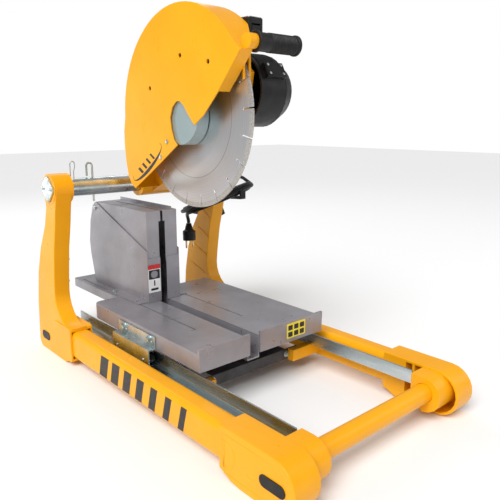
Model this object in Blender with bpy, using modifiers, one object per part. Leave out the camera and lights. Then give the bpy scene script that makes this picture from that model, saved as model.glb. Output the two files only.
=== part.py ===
"""Masonry table saw: frame with side beams, sliding table, backstop hood and tilting cutting head.

Metres, +Z up. Origin: floor level, midway between the side beams, at the middle of the length.
"""

from math import asin, cos, pi, radians, sin

import bmesh
import bpy
from mathutils import Matrix, Vector

GAP = 0.0003

# blade and cutting plane
BLADE_RADIUS = 0.175
BLADE_THICKNESS = 0.003
BLADE_SEGMENTS, BLADE_FIRST_SLOT = 21, 4.43
BLADE_SLOT_ROOT, BLADE_SLOT_HALF = 0.1500, 0.0013
CUT_X = -0.028
HEAD_Y, HEAD_Z = 0.035, 0.5205

# frame
MIDDLE_X, MIDDLE_Y = 0.0041, 0.0130
BEAM_IN, BEAM_OUT = 0.1795, 0.2215
BEAM_LOW, BEAM_TOP = 0.0175, 0.0775
BEAM_FRONT, BEAM_REAR = -0.318, 0.260
BEAM_WALL = 0.003
CAST_IN, CAST_OUT = 0.1755, 0.2255
CAST_FRONT, CAST_BACK, CAST_TOP = -0.440, -0.285, 0.083
CROSS_Y, CROSS_Z, CROSS_RADIUS = -0.394, 0.051, 0.017
RAIL_IN, RAIL_OUT = 0.1455, 0.1750
RAIL_LOW, RAIL_TOP, RAIL_WALL = 0.0563, 0.0813, 0.0030
RAIL_FRONT, RAIL_REAR = -0.366, 0.330
POST_IN, POST_OUT = 0.1885, 0.2235
PIVOT_Y, PIVOT_Z, PIVOT_RADIUS = 0.272, 0.375, 0.019
BAR_Y, BAR_LOW, BAR_TOP = -0.100, 0.032, 0.054
CLIP_X = -0.1685
PIN_X, PIN_RADIUS = -0.1265, 0.0022

# table
TABLE_HALF, TABLE_FRONT, TABLE_BACK = 0.1555, -0.145, 0.246
TABLE_TOP, TABLE_PLATE, SKIRT_LOW, LIP_TOP = 0.1237, 0.004, 0.0905, 0.1325
TAIL_HALF, TAIL_BACK, TAIL_LOW = 0.0715, 0.466, 0.1040
GROOVE_WIDTH = 0.025
TROUGH_LOW = 0.0790
SLOT_OFFSET, SLOT_WIDTH, SLOT_FRONT, SLOT_BACK = 0.0590, 0.0035, -0.040, 0.437
ROLLER_RADIUS, ROLLER_WIDTH, AXLE_RADIUS = 0.0110, 0.013, 0.0030
ROLLER_X, ROLLER_Z = 0.1600, RAIL_LOW + RAIL_WALL + GAP + 0.0110
ROLLER_YS = (0.012, 0.112)

# backstop hood
HOOD_HALF, HOOD_FRONT, HOOD_SHEET = 0.0410, 0.156, 0.0020
HOOD_BASE = TABLE_TOP + GAP
HOOD_BACK = ((0.4050, HOOD_BASE), (0.4090, 0.1415), (0.4220, 0.1915), (0.4250, 0.2235), (0.4150, 0.2750),
             (0.3980, 0.3135), (0.3850, 0.3235))
HOOD_SEAM, HOOD_BOLT_Y = 0.2225, 0.274
FACE_SLOT, TOP_SLOT = 0.016, 0.006
FLAP_PIN_Y, FLAP_PIN_Z, FLAP_PIN_RADIUS = 0.384, 0.3100, 0.0025

# head, measured from the blade's centre
GUARD_RADIUS = 0.199
GUARD_LEFT, GUARD_RIGHT, GUARD_SHEET = -0.034, 0.030, 0.0025
NOSE_SPLIT, NOSE_KNEE, NOSE_WALL_FRONT, NOSE_WALL_BACK, WALL_LOW = -0.0070, 0.0085, -0.1580, -0.1250, 0.059
GUARD_HOLES = ((-0.0100, 0.1073), (-0.0937, 0.0905), (0.0965, 0.0537))
FLANGE_RADIUS, BORE_RADIUS, SPINDLE_RADIUS, BEARING_RADIUS = 0.054, 0.0127, 0.0078, 0.016
ARM_LEFT, ARM_RIGHT = 0.0360, 0.0815
MOTOR_Y, MOTOR_Z, MOTOR_RADIUS = -0.0300, 0.0490, 0.0700
MOTOR_SEAM, MOTOR_END = 0.152, 0.185
GEAR_TIP, PINION_TIP = 0.0455, 0.0116
GRIP_Y, GRIP_Z, GRIP_RADIUS = -0.1825, 0.1170, 0.0155
GRIP_START, GRIP_END, BAR_RADIUS = -0.0060, 0.0910, 0.0080
SLEEVE_Y, SLEEVE_Z = PIVOT_Y - HEAD_Y, PIVOT_Z - HEAD_Z
ROCKER_X, ROCKER_Y, ROCKER_Z = 0.0470, -0.1240, 0.1420

# power cord
CORD_RADIUS = 0.00425
COIL_CENTRE = Vector((0.2035, 0.2600, 0.3205))
COIL_RADIUS, COIL_THICKNESS = 0.088, 0.0105
LEAD_ROUTE = ((0.2626, PIVOT_Y, PIVOT_Z), (0.2690, PIVOT_Y, PIVOT_Z), (0.2790, 0.2690, 0.3725),
              (0.2880, 0.2570, 0.3675), (0.2910, 0.2460, 0.3615))
TAIL_ROUTE = ((0.1375, 0.2960, 0.2760), (0.1372, 0.2940, 0.2690), (0.1370, 0.2920, 0.2605))

YELLOW = ("yellow_enamel", (0.92, 0.50, 0.02, 1), 0.35, 0.0)
ZINC = ("zinc_plate", (0.62, 0.68, 0.70, 1), 0.30, 1.0)
GREY = ("grey_enamel", (0.42, 0.41, 0.42, 1), 0.40, 0.3)
STEEL = ("brushed_steel", (0.66, 0.66, 0.67, 1), 0.28, 1.0)
BLACK = ("black_plastic", (0.02, 0.02, 0.022, 1), 0.45, 0.0)
DARK = ("dark_steel", (0.08, 0.08, 0.085, 1), 0.45, 0.8)
RUBBER = ("black_rubber", (0.015, 0.015, 0.015, 1), 0.70, 0.0)
BRONZE = ("copper_winding", (0.60, 0.32, 0.14, 1), 0.35, 1.0)


def clear_scene():
    for item in list(bpy.data.objects):
        bpy.data.objects.remove(item, do_unlink=True)


def new_collection(name):
    group = bpy.data.collections.new(name)
    bpy.context.scene.collection.children.link(group)
    return group


def material(recipe):
    name, colour, roughness, metallic = recipe
    made = bpy.data.materials.get(name)
    if made is None:
        made = bpy.data.materials.new(name)
        made.use_nodes = True
        shader = made.node_tree.nodes["Principled BSDF"]
        shader.inputs["Base Color"].default_value = colour
        shader.inputs["Roughness"].default_value = roughness
        shader.inputs["Metallic"].default_value = metallic
    return made


def add_mesh(name, mesh, recipe=None):
    """Put a mesh in the saw's collection, or in the tools' one when it has no material."""
    thing = bpy.data.objects.new(name, mesh)
    if recipe is None:
        TOOLS.objects.link(thing)
        thing.hide_render = True
        thing.display_type = "WIRE"
    else:
        SAW.objects.link(thing)
        mesh.materials.clear()
        mesh.materials.append(material(recipe))
    return thing


def box_mesh(low, high):
    low, high = Vector(low), Vector(high)
    form = bmesh.new()
    bmesh.ops.create_cube(form, size=1.0)
    bmesh.ops.scale(form, vec=high - low, verts=form.verts)
    bmesh.ops.translate(form, vec=(low + high) / 2, verts=form.verts)
    mesh = bpy.data.meshes.new("box")
    form.to_mesh(mesh)
    form.free()
    return mesh


def rod_mesh(radius, start, end, sides=28, end_radius=None):
    """A round bar or cone frustum between two points."""
    start, end = Vector(start), Vector(end)
    turn = (end - start).to_track_quat("Z", "Y").to_matrix().to_4x4()
    form = bmesh.new()
    bmesh.ops.create_cone(form, cap_ends=True, segments=sides, radius1=radius,
                          radius2=radius if end_radius is None else end_radius, depth=(end - start).length)
    bmesh.ops.transform(form, matrix=Matrix.Translation((start + end) / 2) @ turn, verts=form.verts)
    mesh = bpy.data.meshes.new("rod")
    form.to_mesh(mesh)
    form.free()
    mesh.shade_smooth()
    mesh.set_sharp_from_angle(angle=radians(40))
    return mesh


def plate_mesh(outline, low, high, axis="X", holes=()):
    """A flat outline given in the two other axes, thick from low to high along the named axis."""
    sheet = bpy.data.curves.new("outline", "CURVE")
    sheet.dimensions = "2D"
    sheet.fill_mode = "BOTH"
    sheet.extrude = (high - low) / 2
    for loop in (outline, *holes):
        spline = sheet.splines.new("POLY")
        spline.points.add(len(loop) - 1)
        for point, place in zip(spline.points, loop):
            point.co = (place[0], place[1], 0, 1)
        spline.use_cyclic_u = True
    guide = bpy.data.objects.new("outline", sheet)
    TOOLS.objects.link(guide)
    bpy.context.view_layer.update()
    mesh = bpy.data.meshes.new_from_object(guide.evaluated_get(bpy.context.evaluated_depsgraph_get()))
    bpy.data.objects.remove(guide)
    columns = {"X": ((0, 1, 0), (0, 0, 1), (1, 0, 0)), "Y": ((0, 0, 1), (1, 0, 0), (0, 1, 0)),
               "Z": ((1, 0, 0), (0, 1, 0), (0, 0, 1))}[axis]
    turn = Matrix(columns).transposed().to_4x4()
    shift = Matrix.Translation(Vector(columns[2]) * (low + high) / 2)
    form = bmesh.new()
    form.from_mesh(mesh)
    bmesh.ops.remove_doubles(form, verts=form.verts, dist=1e-5)
    bmesh.ops.transform(form, matrix=shift @ turn, verts=form.verts)
    bmesh.ops.recalc_face_normals(form, faces=form.faces)
    form.to_mesh(mesh)
    form.free()
    return mesh


def wire_mesh(points, radius, detail=2):
    """A round wire or tube with closed ends along the points."""
    line = bpy.data.curves.new("wire", "CURVE")
    line.dimensions = "3D"
    line.bevel_depth = radius
    line.bevel_resolution = detail
    line.use_fill_caps = True
    spline = line.splines.new("POLY")
    spline.points.add(len(points) - 1)
    for point, place in zip(spline.points, points):
        point.co = (*place, 1)
    guide = bpy.data.objects.new("wire", line)
    TOOLS.objects.link(guide)
    bpy.context.view_layer.update()
    mesh = bpy.data.meshes.new_from_object(guide.evaluated_get(bpy.context.evaluated_depsgraph_get()))
    bpy.data.objects.remove(guide)
    form = bmesh.new()
    form.from_mesh(mesh)
    bmesh.ops.remove_doubles(form, verts=form.verts, dist=1e-5)
    bmesh.ops.recalc_face_normals(form, faces=form.faces)
    form.to_mesh(mesh)
    form.free()
    return mesh


def combine(thing, mesh, operation="DIFFERENCE"):
    tool = add_mesh("tool_" + thing.name, mesh)
    change = thing.modifiers.new(operation.lower(), "BOOLEAN")
    change.operation = operation
    change.object = tool
    return tool


def use_manifold_solver(thing):
    """For a shell whose many cuts the exact solver drops; every mesh here is closed."""
    for modifier in thing.modifiers:
        if modifier.type == "BOOLEAN":
            modifier.solver = "MANIFOLD"


def cut(thing, mesh):
    return combine(thing, mesh)


def join(thing, mesh):
    return combine(thing, mesh, "UNION")


def soften(thing, width, segments=2, angle=40):
    bevel = thing.modifiers.new("soften", "BEVEL")
    bevel.width = width
    bevel.segments = segments
    bevel.limit_method = "ANGLE"
    bevel.angle_limit = radians(angle)
    bevel.harden_normals = False
    return bevel


def arc(centre, radius, start, end, steps):
    """Points on a circle in a plane, with the angles in degrees."""
    turns = [radians(start + (end - start) * i / steps) for i in range(steps + 1)]
    return [(centre[0] + radius * cos(t), centre[1] + radius * sin(t)) for t in turns]


def rounded_box(low, high, radius, steps=3):
    """A rectangle with round corners, anticlockwise."""
    corners = (((high[0] - radius, high[1] - radius), 0), ((low[0] + radius, high[1] - radius), 90),
               ((low[0] + radius, low[1] + radius), 180), ((high[0] - radius, low[1] + radius), 270))
    return [p for centre, start in corners for p in arc(centre, radius, start, start + 90, steps)]


def span(side, inner, outer):
    """Sorted X limits of something that stands between inner and outer on one side."""
    return (inner, outer) if side > 0 else (-outer, -inner)


def side_name(side):
    return "right" if side > 0 else "left"


# frame

def side_beam(side):
    low_x, high_x = span(side, BEAM_IN, BEAM_OUT)
    outline = rounded_box((BEAM_LOW, low_x), (BEAM_TOP, high_x), 0.012, 4)
    bore = rounded_box((BEAM_LOW + BEAM_WALL, low_x + BEAM_WALL), (BEAM_TOP - BEAM_WALL, high_x - BEAM_WALL),
                       0.009, 3)
    beam = add_mesh("side_beam_" + side_name(side),
                    plate_mesh(outline, BEAM_FRONT, BEAM_REAR, "Y", (bore,)), YELLOW)
    lug_x = span(side, 0.1000, BEAM_IN + 0.002)
    join(beam, box_mesh((lug_x[0], BAR_Y - 0.019, 0.030), (lug_x[1], BAR_Y - 0.0035, BAR_TOP)))
    return beam


def front_casting(side):
    """Hollow nose casting: open to the inside, with ribs and an arm that holds the cross tube and rail."""
    mid, nose = CAST_TOP / 2, CAST_FRONT + CAST_TOP / 2
    outline = ([(CAST_BACK, CAST_TOP)] + arc((nose, mid), mid, 90, 270, 12)
               + [(-0.330, 0.0), (-0.310, 0.003), (-0.296, 0.010), (CAST_BACK, 0.013)])
    x_low, x_high = span(side, CAST_IN, CAST_OUT)
    casting = add_mesh("front_casting_" + side_name(side), plate_mesh(outline, x_low, x_high), YELLOW)
    soften(casting, 0.006, 2)
    pocket = ([(-0.3335, CAST_TOP - 0.005)] + arc((nose, mid), mid - 0.005, 90, 270, 10) + [(-0.3335, 0.0055)])
    cut(casting, plate_mesh(pocket, *span(side, CAST_IN - 0.010, CAST_OUT - 0.005)))
    cut(casting, box_mesh((span(side, BEAM_IN - GAP, BEAM_OUT + GAP)[0], BEAM_FRONT - GAP, BEAM_LOW - GAP),
                          (span(side, BEAM_IN - GAP, BEAM_OUT + GAP)[1], CAST_BACK + 0.010, BEAM_TOP + GAP)))
    arm = [(-0.3685, 0.0800)] + arc((CROSS_Y, 0.048), 0.032, 90, 270, 8) + [(-0.3685, 0.0300)]
    join(casting, plate_mesh(arm, *span(side, 0.1390, CAST_OUT - 0.003)))
    join(casting, box_mesh((span(side, CAST_IN, CAST_OUT - 0.003)[0], -0.352, 0.003),
                           (span(side, CAST_IN, CAST_OUT - 0.003)[1], -0.347, CAST_TOP - 0.002)))
    cut(casting, rod_mesh(CROSS_RADIUS + GAP, (side * 0.13, CROSS_Y, CROSS_Z),
                          (side * (CAST_OUT - 0.009), CROSS_Y, CROSS_Z)))
    return casting


def upright(side):
    """Rear post with its foot, the socket for the side beam and the head round the pivot tube."""
    outline = ([(0.241, 0.368), (0.250, 0.335), (0.259, 0.295), (0.273, 0.245), (0.284, 0.180)]
               + arc((0.227, 0.146), 0.0605, 0, -90, 6)
               + [(0.216, 0.0855), (0.216, 0.012), (0.236, 0.010), (0.252, 0.0)]
               + arc((0.378, 0.016), 0.016, 270, 360, 3)
               + [(0.386, 0.110), (0.371, 0.180), (0.346, 0.240), (0.311, 0.296), (0.297, 0.335),
                  (0.303, 0.368)])
    post = add_mesh("upright_" + side_name(side), plate_mesh(outline, *span(side, POST_IN, POST_OUT)), YELLOW)
    soften(post, 0.006, 2)
    sleeve = rounded_box((0.216, 0.010), (0.300, 0.0855), 0.008, 2)
    join(post, plate_mesh(sleeve, *span(side, CAST_IN, CAST_OUT)))
    join(post, rod_mesh(0.031, (side * 0.184, PIVOT_Y, PIVOT_Z), (side * 0.2245, PIVOT_Y, PIVOT_Z), 32))
    pocket = span(side, BEAM_IN - GAP, BEAM_OUT + GAP)
    cut(post, box_mesh((pocket[0], 0.206, BEAM_LOW - GAP), (pocket[1], BEAM_REAR + GAP, BEAM_TOP + GAP)))
    cut(post, rod_mesh(PIVOT_RADIUS + GAP, (side * 0.170, PIVOT_Y, PIVOT_Z), (side * 0.240, PIVOT_Y, PIVOT_Z)))
    return post


def rail(side):
    """Zinc plated angle: the web carries the rollers and the inner flange guides them."""
    inner, outer, low, wall = side * RAIL_IN, side * RAIL_OUT, RAIL_LOW, RAIL_WALL
    outline = [(low, inner), (low, outer), (low + wall, outer), (low + wall, inner + side * (wall + 0.004)),
               (low + wall + 0.0012, inner + side * (wall + 0.0012)), (low + wall + 0.004, inner + side * wall),
               (RAIL_TOP, inner + side * wall), (RAIL_TOP, inner)]
    return add_mesh("rail_" + side_name(side), plate_mesh(outline, RAIL_FRONT, RAIL_REAR, "Y"), ZINC)


def front_cross_tube():
    reach = CAST_OUT - 0.0095
    tube = rod_mesh(CROSS_RADIUS, (-reach, CROSS_Y, CROSS_Z), (reach, CROSS_Y, CROSS_Z), 24)
    return add_mesh("front_cross_tube", tube, YELLOW)


def under_cross_bar():
    bar = add_mesh("under_cross_bar", box_mesh((-0.126, BAR_Y - 0.003, BAR_LOW), (0.126, BAR_Y, BAR_TOP)), DARK)
    join(bar, box_mesh((-0.094, BAR_Y - 0.003, BAR_TOP - 0.003), (0.094, BAR_Y + 0.022, BAR_TOP)))
    return bar


def foot_plug(side, label, face, y, z, length):
    """Flat plug that stands on the outer face of a foot."""
    outline = rounded_box((y - length / 2, z - 0.0095), (y + length / 2, z + 0.0095), 0.009, 3)
    return add_mesh("end_plug_%s_%s" % (side_name(side), label),
                    plate_mesh(outline, *span(side, face + GAP, face + 0.0016)), BLACK)


def pivot_tube():
    tube = add_mesh("pivot_tube", rod_mesh(PIVOT_RADIUS, (-0.2245, PIVOT_Y, PIVOT_Z), (0.2245, PIVOT_Y, PIVOT_Z),
                                           32), ZINC)
    cut(tube, rod_mesh(PIVOT_RADIUS - 0.003, (-0.3, PIVOT_Y, PIVOT_Z), (0.3, PIVOT_Y, PIVOT_Z), 24))
    cut(tube, rod_mesh(PIN_RADIUS + GAP, (PIN_X, PIVOT_Y, PIVOT_Z - 0.03), (PIN_X, PIVOT_Y, PIVOT_Z + 0.03), 10))
    cut(tube, rod_mesh(0.0016, (CLIP_X, PIVOT_Y, PIVOT_Z), (CLIP_X, PIVOT_Y, PIVOT_Z + 0.03), 10))
    return tube


def pivot_flange(side):
    outline = [(PIVOT_Y + 0.026, PIVOT_Z + 0.004), (PIVOT_Y + 0.004, PIVOT_Z + 0.026),
               (PIVOT_Y - 0.004, PIVOT_Z + 0.026), (PIVOT_Y - 0.026, PIVOT_Z + 0.004),
               (PIVOT_Y - 0.026, PIVOT_Z - 0.004), (PIVOT_Y - 0.004, PIVOT_Z - 0.026),
               (PIVOT_Y + 0.004, PIVOT_Z - 0.026), (PIVOT_Y + 0.026, PIVOT_Z - 0.004)]
    plate = plate_mesh(outline, *span(side, 0.2248, 0.2288))
    flange = add_mesh("pivot_flange_" + side_name(side), plate, ZINC)
    if side > 0:
        cut(flange, rod_mesh(0.0070, (0.215, PIVOT_Y, PIVOT_Z), (0.235, PIVOT_Y, PIVOT_Z), 20))
    return flange


def tube_clip():
    """R-clip of spring wire, pushed into the top of the pivot tube."""
    base, top = PIVOT_Z + PIVOT_RADIUS - 0.004, PIVOT_Z + PIVOT_RADIUS + 0.034
    points = [(CLIP_X, PIVOT_Y, base), (CLIP_X, PIVOT_Y, top - 0.020), (CLIP_X + 0.0030, PIVOT_Y, top - 0.012)]
    points += [(CLIP_X - 0.002 + x, PIVOT_Y, z) for x, z in arc((0, top - 0.004), 0.0050, 0, 180, 6)]
    points += [(CLIP_X - 0.007, PIVOT_Y, PIVOT_Z + PIVOT_RADIUS + 0.003)]
    return add_mesh("tube_clip", wire_mesh(points, 0.0013, 1), ZINC)


def lock_pin():
    """Wire pin through the pivot tube: a long leg, a bow on top and a short leg outside."""
    top = PIVOT_Z + PIVOT_RADIUS + 0.024
    bow = [(PIN_X - 0.0065 + x, PIVOT_Y, z) for x, z in arc((0, top), 0.0065, 0, 180, 8)]
    points = [(PIN_X, PIVOT_Y, PIVOT_Z - PIVOT_RADIUS - 0.014)] + bow
    points += [(PIN_X - 0.013, PIVOT_Y, PIVOT_Z + PIVOT_RADIUS + 0.003)]
    return add_mesh("lock_pin", wire_mesh(points, PIN_RADIUS, 2), ZINC)


# table

def table_tray():
    """Folded tray with a raised front lip, side skirts, a narrow tail and slots for the hood's bolts."""
    left, right = CUT_X - TAIL_HALF, CUT_X + TAIL_HALF
    outline = ([(-TABLE_HALF, TABLE_FRONT), (TABLE_HALF, TABLE_FRONT)]
               + arc((TABLE_HALF - 0.018, TABLE_BACK - 0.018), 0.018, 0, 90, 4) + [(right, TABLE_BACK)]
               + arc((right - 0.006, TAIL_BACK - 0.006), 0.006, 0, 90, 2)
               + arc((left + 0.006, TAIL_BACK - 0.006), 0.006, 90, 180, 2)
               + [(left, TABLE_BACK)] + arc((-TABLE_HALF + 0.018, TABLE_BACK - 0.018), 0.018, 90, 180, 4))
    tray = add_mesh("table_tray", plate_mesh(outline, SKIRT_LOW, TABLE_TOP, "Z"), GREY)
    soften(tray, 0.0025, 2)
    wall, under = 0.0030, TABLE_TOP - TABLE_PLATE
    cut(tray, box_mesh((-TABLE_HALF + wall, TABLE_FRONT + 0.005, 0.05), (TABLE_HALF - wall, TABLE_BACK - wall, under)))
    cut(tray, box_mesh((left + wall, TABLE_BACK - 0.010, 0.05), (right - wall, TAIL_BACK - wall, under)))
    cut(tray, box_mesh((left - 0.02, TABLE_BACK + 0.001, 0.05), (right + 0.02, TAIL_BACK + 0.02, TAIL_LOW)))
    join(tray, box_mesh((-TABLE_HALF, TABLE_FRONT, TABLE_TOP - 0.006), (TABLE_HALF, TABLE_FRONT + 0.005, LIP_TOP)))
    for shift in (-SLOT_OFFSET, SLOT_OFFSET):
        cut(tray, box_mesh((CUT_X + shift - SLOT_WIDTH / 2, SLOT_FRONT, 0.11),
                           (CUT_X + shift + SLOT_WIDTH / 2, SLOT_BACK, 0.13)))
    half = GROOVE_WIDTH / 2
    cut(tray, box_mesh((CUT_X - half, TABLE_FRONT - 0.01, 0.05), (CUT_X + half, 0.400, 0.15)))
    return tray


def blade_trough():
    """U channel under the blade slot that catches the water and dust."""
    half, top = GROOVE_WIDTH / 2, TABLE_TOP - TABLE_PLATE - GAP
    outline = [(top, CUT_X - half - 0.002), (top, CUT_X - half), (TROUGH_LOW + 0.003, CUT_X - half),
               (TROUGH_LOW + 0.003, CUT_X + half), (top, CUT_X + half), (top, CUT_X + half + 0.002),
               (TROUGH_LOW, CUT_X + half + 0.002), (TROUGH_LOW, CUT_X - half - 0.002)]
    return add_mesh("blade_trough", plate_mesh(outline, TABLE_FRONT + 0.0053, 0.400, "Y"), GREY)


def roller_bracket(side):
    """Folded zinc bracket bolted to the skirt: tab, shelf over the rail and flange for the axles."""
    tab, shelf, fold, outer = TABLE_HALF + GAP, 0.0925, 0.1585, 0.1732
    outline = [(shelf, side * tab), (0.1170, side * tab), (0.1170, side * (tab + 0.0025)),
               (shelf + 0.0025, side * fold), (shelf + 0.0025, side * outer), (ROLLER_Z - 0.007, side * outer),
               (ROLLER_Z - 0.007, side * (outer - 0.0025)), (shelf, side * (outer - 0.0025))]
    front, back = ROLLER_YS[0] - 0.020, ROLLER_YS[1] + 0.016
    bracket = add_mesh("roller_bracket_" + side_name(side), plate_mesh(outline, front, back, "Y"), ZINC)
    for y in ROLLER_YS:
        cut(bracket, rod_mesh(AXLE_RADIUS + GAP, (side * 0.165, y, ROLLER_Z), (side * 0.180, y, ROLLER_Z), 16))
    return bracket


def roller_axle(side, y, label):
    axle = rod_mesh(AXLE_RADIUS, (side * 0.1520, y, ROLLER_Z), (side * 0.1745, y, ROLLER_Z), 16)
    return add_mesh("roller_axle_%s_%s" % (side_name(side), label), axle, ZINC)


def roller(side, y, label):
    edge = ROLLER_WIDTH / 2
    wheel = add_mesh("roller_%s_%s" % (side_name(side), label),
                     rod_mesh(ROLLER_RADIUS, (side * ROLLER_X - edge, y, ROLLER_Z),
                              (side * ROLLER_X + edge, y, ROLLER_Z), 24), BLACK)
    cut(wheel, rod_mesh(AXLE_RADIUS + GAP, (side * ROLLER_X - 0.02, y, ROLLER_Z),
                        (side * ROLLER_X + 0.02, y, ROLLER_Z), 16))
    return wheel


# backstop hood

def hood_box():
    """Lower box of the hood, open below and above its slanting top edge, with a foot on both sides."""
    outline = [(HOOD_FRONT, HOOD_SEAM + 0.0150), (HOOD_FRONT, HOOD_BASE), *HOOD_BACK]
    hood = add_mesh("hood_box", plate_mesh(outline, CUT_X - HOOD_HALF, CUT_X + HOOD_HALF), GREY)
    front, inside = HOOD_FRONT + HOOD_SHEET, HOOD_HALF - HOOD_SHEET
    inner = [(front, 0.2800), (front, HOOD_BASE - 0.01), (HOOD_BACK[0][0] - HOOD_SHEET, HOOD_BASE - 0.01)]
    inner += [(y - HOOD_SHEET, z) for y, z in HOOD_BACK[1:-1]] + [(0.3828, 0.3222), (0.3800, 0.3450)]
    cut(hood, plate_mesh(inner, CUT_X - inside, CUT_X + inside))
    cut(hood, box_mesh((CUT_X - inside, HOOD_FRONT - 0.01, HOOD_SEAM), (CUT_X + inside, front + 0.001, 0.260)))
    half = FACE_SLOT / 2
    cut(hood, box_mesh((CUT_X - half, HOOD_FRONT - 0.01, 0.10), (CUT_X + half, HOOD_FRONT + 0.01, 0.26)))
    for side in (-1, 1):
        low, high = sorted((CUT_X + side * (HOOD_HALF - 0.001), CUT_X + side * 0.0640))
        join(hood, box_mesh((low, HOOD_FRONT + 0.006, HOOD_BASE), (high, 0.300, HOOD_BASE + 0.002)))
        x, y = CUT_X + side * SLOT_OFFSET, HOOD_BOLT_Y
        cut(hood, rod_mesh(0.0016, (x, y, HOOD_BASE - 0.01), (x, y, HOOD_BASE + 0.01), 12))
    cut(hood, rod_mesh(FLAP_PIN_RADIUS + GAP, (CUT_X - 0.06, FLAP_PIN_Y, FLAP_PIN_Z),
                       (CUT_X + 0.06, FLAP_PIN_Y, FLAP_PIN_Z), 14))
    use_manifold_solver(hood)
    return hood


def hood_flap():
    """Lid of the hood, nested inside the box and hinged at its upper back edge."""
    top, front = 0.3240, HOOD_FRONT + 0.0024
    half = HOOD_HALF - HOOD_SHEET - 0.0006
    outline = [(front, 0.2120), (0.3905, 0.3000), (0.3905, 0.3130), (0.3822, 0.3200), (0.3815, top), (front, top)]
    flap = add_mesh("hood_flap", plate_mesh(outline, CUT_X - half, CUT_X + half), GREY)
    inner = [(front + 0.002, 0.1900), (0.4100, 0.2900), (0.4100, top - 0.002), (front + 0.002, top - 0.002)]
    cut(flap, plate_mesh(inner, CUT_X - half + 0.0018, CUT_X + half - 0.0018))
    cut(flap, box_mesh((CUT_X - FACE_SLOT / 2, front - 0.01, 0.18), (CUT_X + FACE_SLOT / 2, front + 0.01, 0.301)))
    cut(flap, box_mesh((CUT_X - TOP_SLOT / 2, front - 0.01, 0.18), (CUT_X + TOP_SLOT / 2, 0.355, 0.34)))
    join(flap, box_mesh((CUT_X + 0.0240, front, top - 0.001), (CUT_X + 0.0260, 0.380, top + 0.007)))
    cut(flap, rod_mesh(FLAP_PIN_RADIUS + GAP, (CUT_X - 0.06, FLAP_PIN_Y, FLAP_PIN_Z),
                       (CUT_X + 0.06, FLAP_PIN_Y, FLAP_PIN_Z), 14))
    return flap


def flap_pin():
    pin = add_mesh("flap_pin", rod_mesh(FLAP_PIN_RADIUS, (CUT_X - 0.046, FLAP_PIN_Y, FLAP_PIN_Z),
                                        (CUT_X + 0.046, FLAP_PIN_Y, FLAP_PIN_Z), 14), ZINC)
    for side in (-1, 1):
        join(pin, rod_mesh(0.0050, (CUT_X + side * (HOOD_HALF + GAP), FLAP_PIN_Y, FLAP_PIN_Z),
                           (CUT_X + side * 0.0450, FLAP_PIN_Y, FLAP_PIN_Z), 14))
    return pin


def hood_bolt(side):
    """Clamp bolt: hex head on the hood's foot, shank through the table's slot, nut plate below."""
    x, y = CUT_X + side * SLOT_OFFSET, HOOD_BOLT_Y
    foot = HOOD_BASE + 0.002 + GAP
    under = TABLE_TOP - TABLE_PLATE - GAP
    bolt = add_mesh("hood_bolt_" + side_name(side), rod_mesh(0.0050, (x, y, foot), (x, y, foot + 0.005), 6), ZINC)
    join(bolt, rod_mesh(0.0013, (x, y, under - 0.004), (x, y, foot + 0.002), 12))
    join(bolt, box_mesh((x - 0.006, y - 0.006, under - 0.004), (x + 0.006, y + 0.006, under)))
    return bolt


# cutting head, built from the blade's centre

def head_point(x, y, z):
    return (CUT_X + x, HEAD_Y + y, HEAD_Z + z)


def head_plate(outline, low, high, holes=()):
    def shifted(loop):
        return [(HEAD_Y + y, HEAD_Z + z) for y, z in loop]
    return plate_mesh(shifted(outline), CUT_X + low, CUT_X + high, "X", [shifted(h) for h in holes])


def head_rod(radius, x_low, x_high, y=0.0, z=0.0, sides=28, end_radius=None):
    return rod_mesh(radius, head_point(x_low, y, z), head_point(x_high, y, z), sides, end_radius)


def head_arm():
    """Casting with the pivot sleeve, the arm and an open gearbox."""
    arm = add_mesh("head_arm", head_plate(arm_outline(), ARM_LEFT, ARM_RIGHT), YELLOW)
    join(arm, head_rod(0.030, 0.010, 0.130, SLEEVE_Y, SLEEVE_Z, 32))
    cut(arm, head_rod(0.0495, ARM_LEFT + 0.005, ARM_RIGHT + 0.01, 0, 0, 32))
    cut(arm, head_rod(0.0170, ARM_LEFT + 0.005, ARM_RIGHT + 0.01, MOTOR_Y, MOTOR_Z, 24))
    cut(arm, head_rod(BEARING_RADIUS + GAP, ARM_LEFT - 0.01, ARM_LEFT + 0.02, 0, 0, 24))
    cut(arm, head_rod(PIVOT_RADIUS + 0.0006, 0.0, 0.2, SLEEVE_Y, SLEEVE_Z, 32))
    return arm


def arm_outline():
    lower = [(0.030, -0.050), (0.130, -0.120), (0.215, -0.166)]
    upper = [(0.262, -0.130), (0.200, -0.050), (0.130, 0.030), (0.060, 0.090), (0.010, 0.112)]
    front = [(-0.050, 0.112), (-0.085, 0.080), (-0.072, 0.020), (-0.052, -0.025), (-0.025, -0.052)]
    return lower + upper + front


def gearbox_cover():
    """Plate between gearbox and motor that carries the second bearing."""
    outline = arc((0, 0), 0.054, 150, 340, 10) + [(0.060, 0.020), (0.052, 0.062), (0.020, 0.100), (-0.020, 0.104),
                                                  (-0.062, 0.096), (-0.072, 0.060)]
    cover = add_mesh("gearbox_cover", head_plate(outline, ARM_RIGHT + GAP, ARM_RIGHT + 0.0045), BLACK)
    cut(cover, head_rod(0.0080, ARM_RIGHT - 0.01, ARM_RIGHT + 0.02, 0, 0, 20))
    cut(cover, head_rod(0.0090, ARM_RIGHT - 0.01, ARM_RIGHT + 0.02, MOTOR_Y, MOTOR_Z, 20))
    return cover


def guard_rim(inset=0.0, start=141):
    """Outer edge of the guard, from the nose over the top to the rounded tip at the back."""
    rim = arc((0, 0), GUARD_RADIUS - inset, start, 0, 30)
    back = [(0.2060, -0.0300), (0.2065, -0.0600), (0.2030, -0.0950), (0.1960, -0.1240), (0.1860, -0.1400),
            (0.1700, -0.1500)]
    return rim + [(y - inset, z) for y, z in back]


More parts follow.
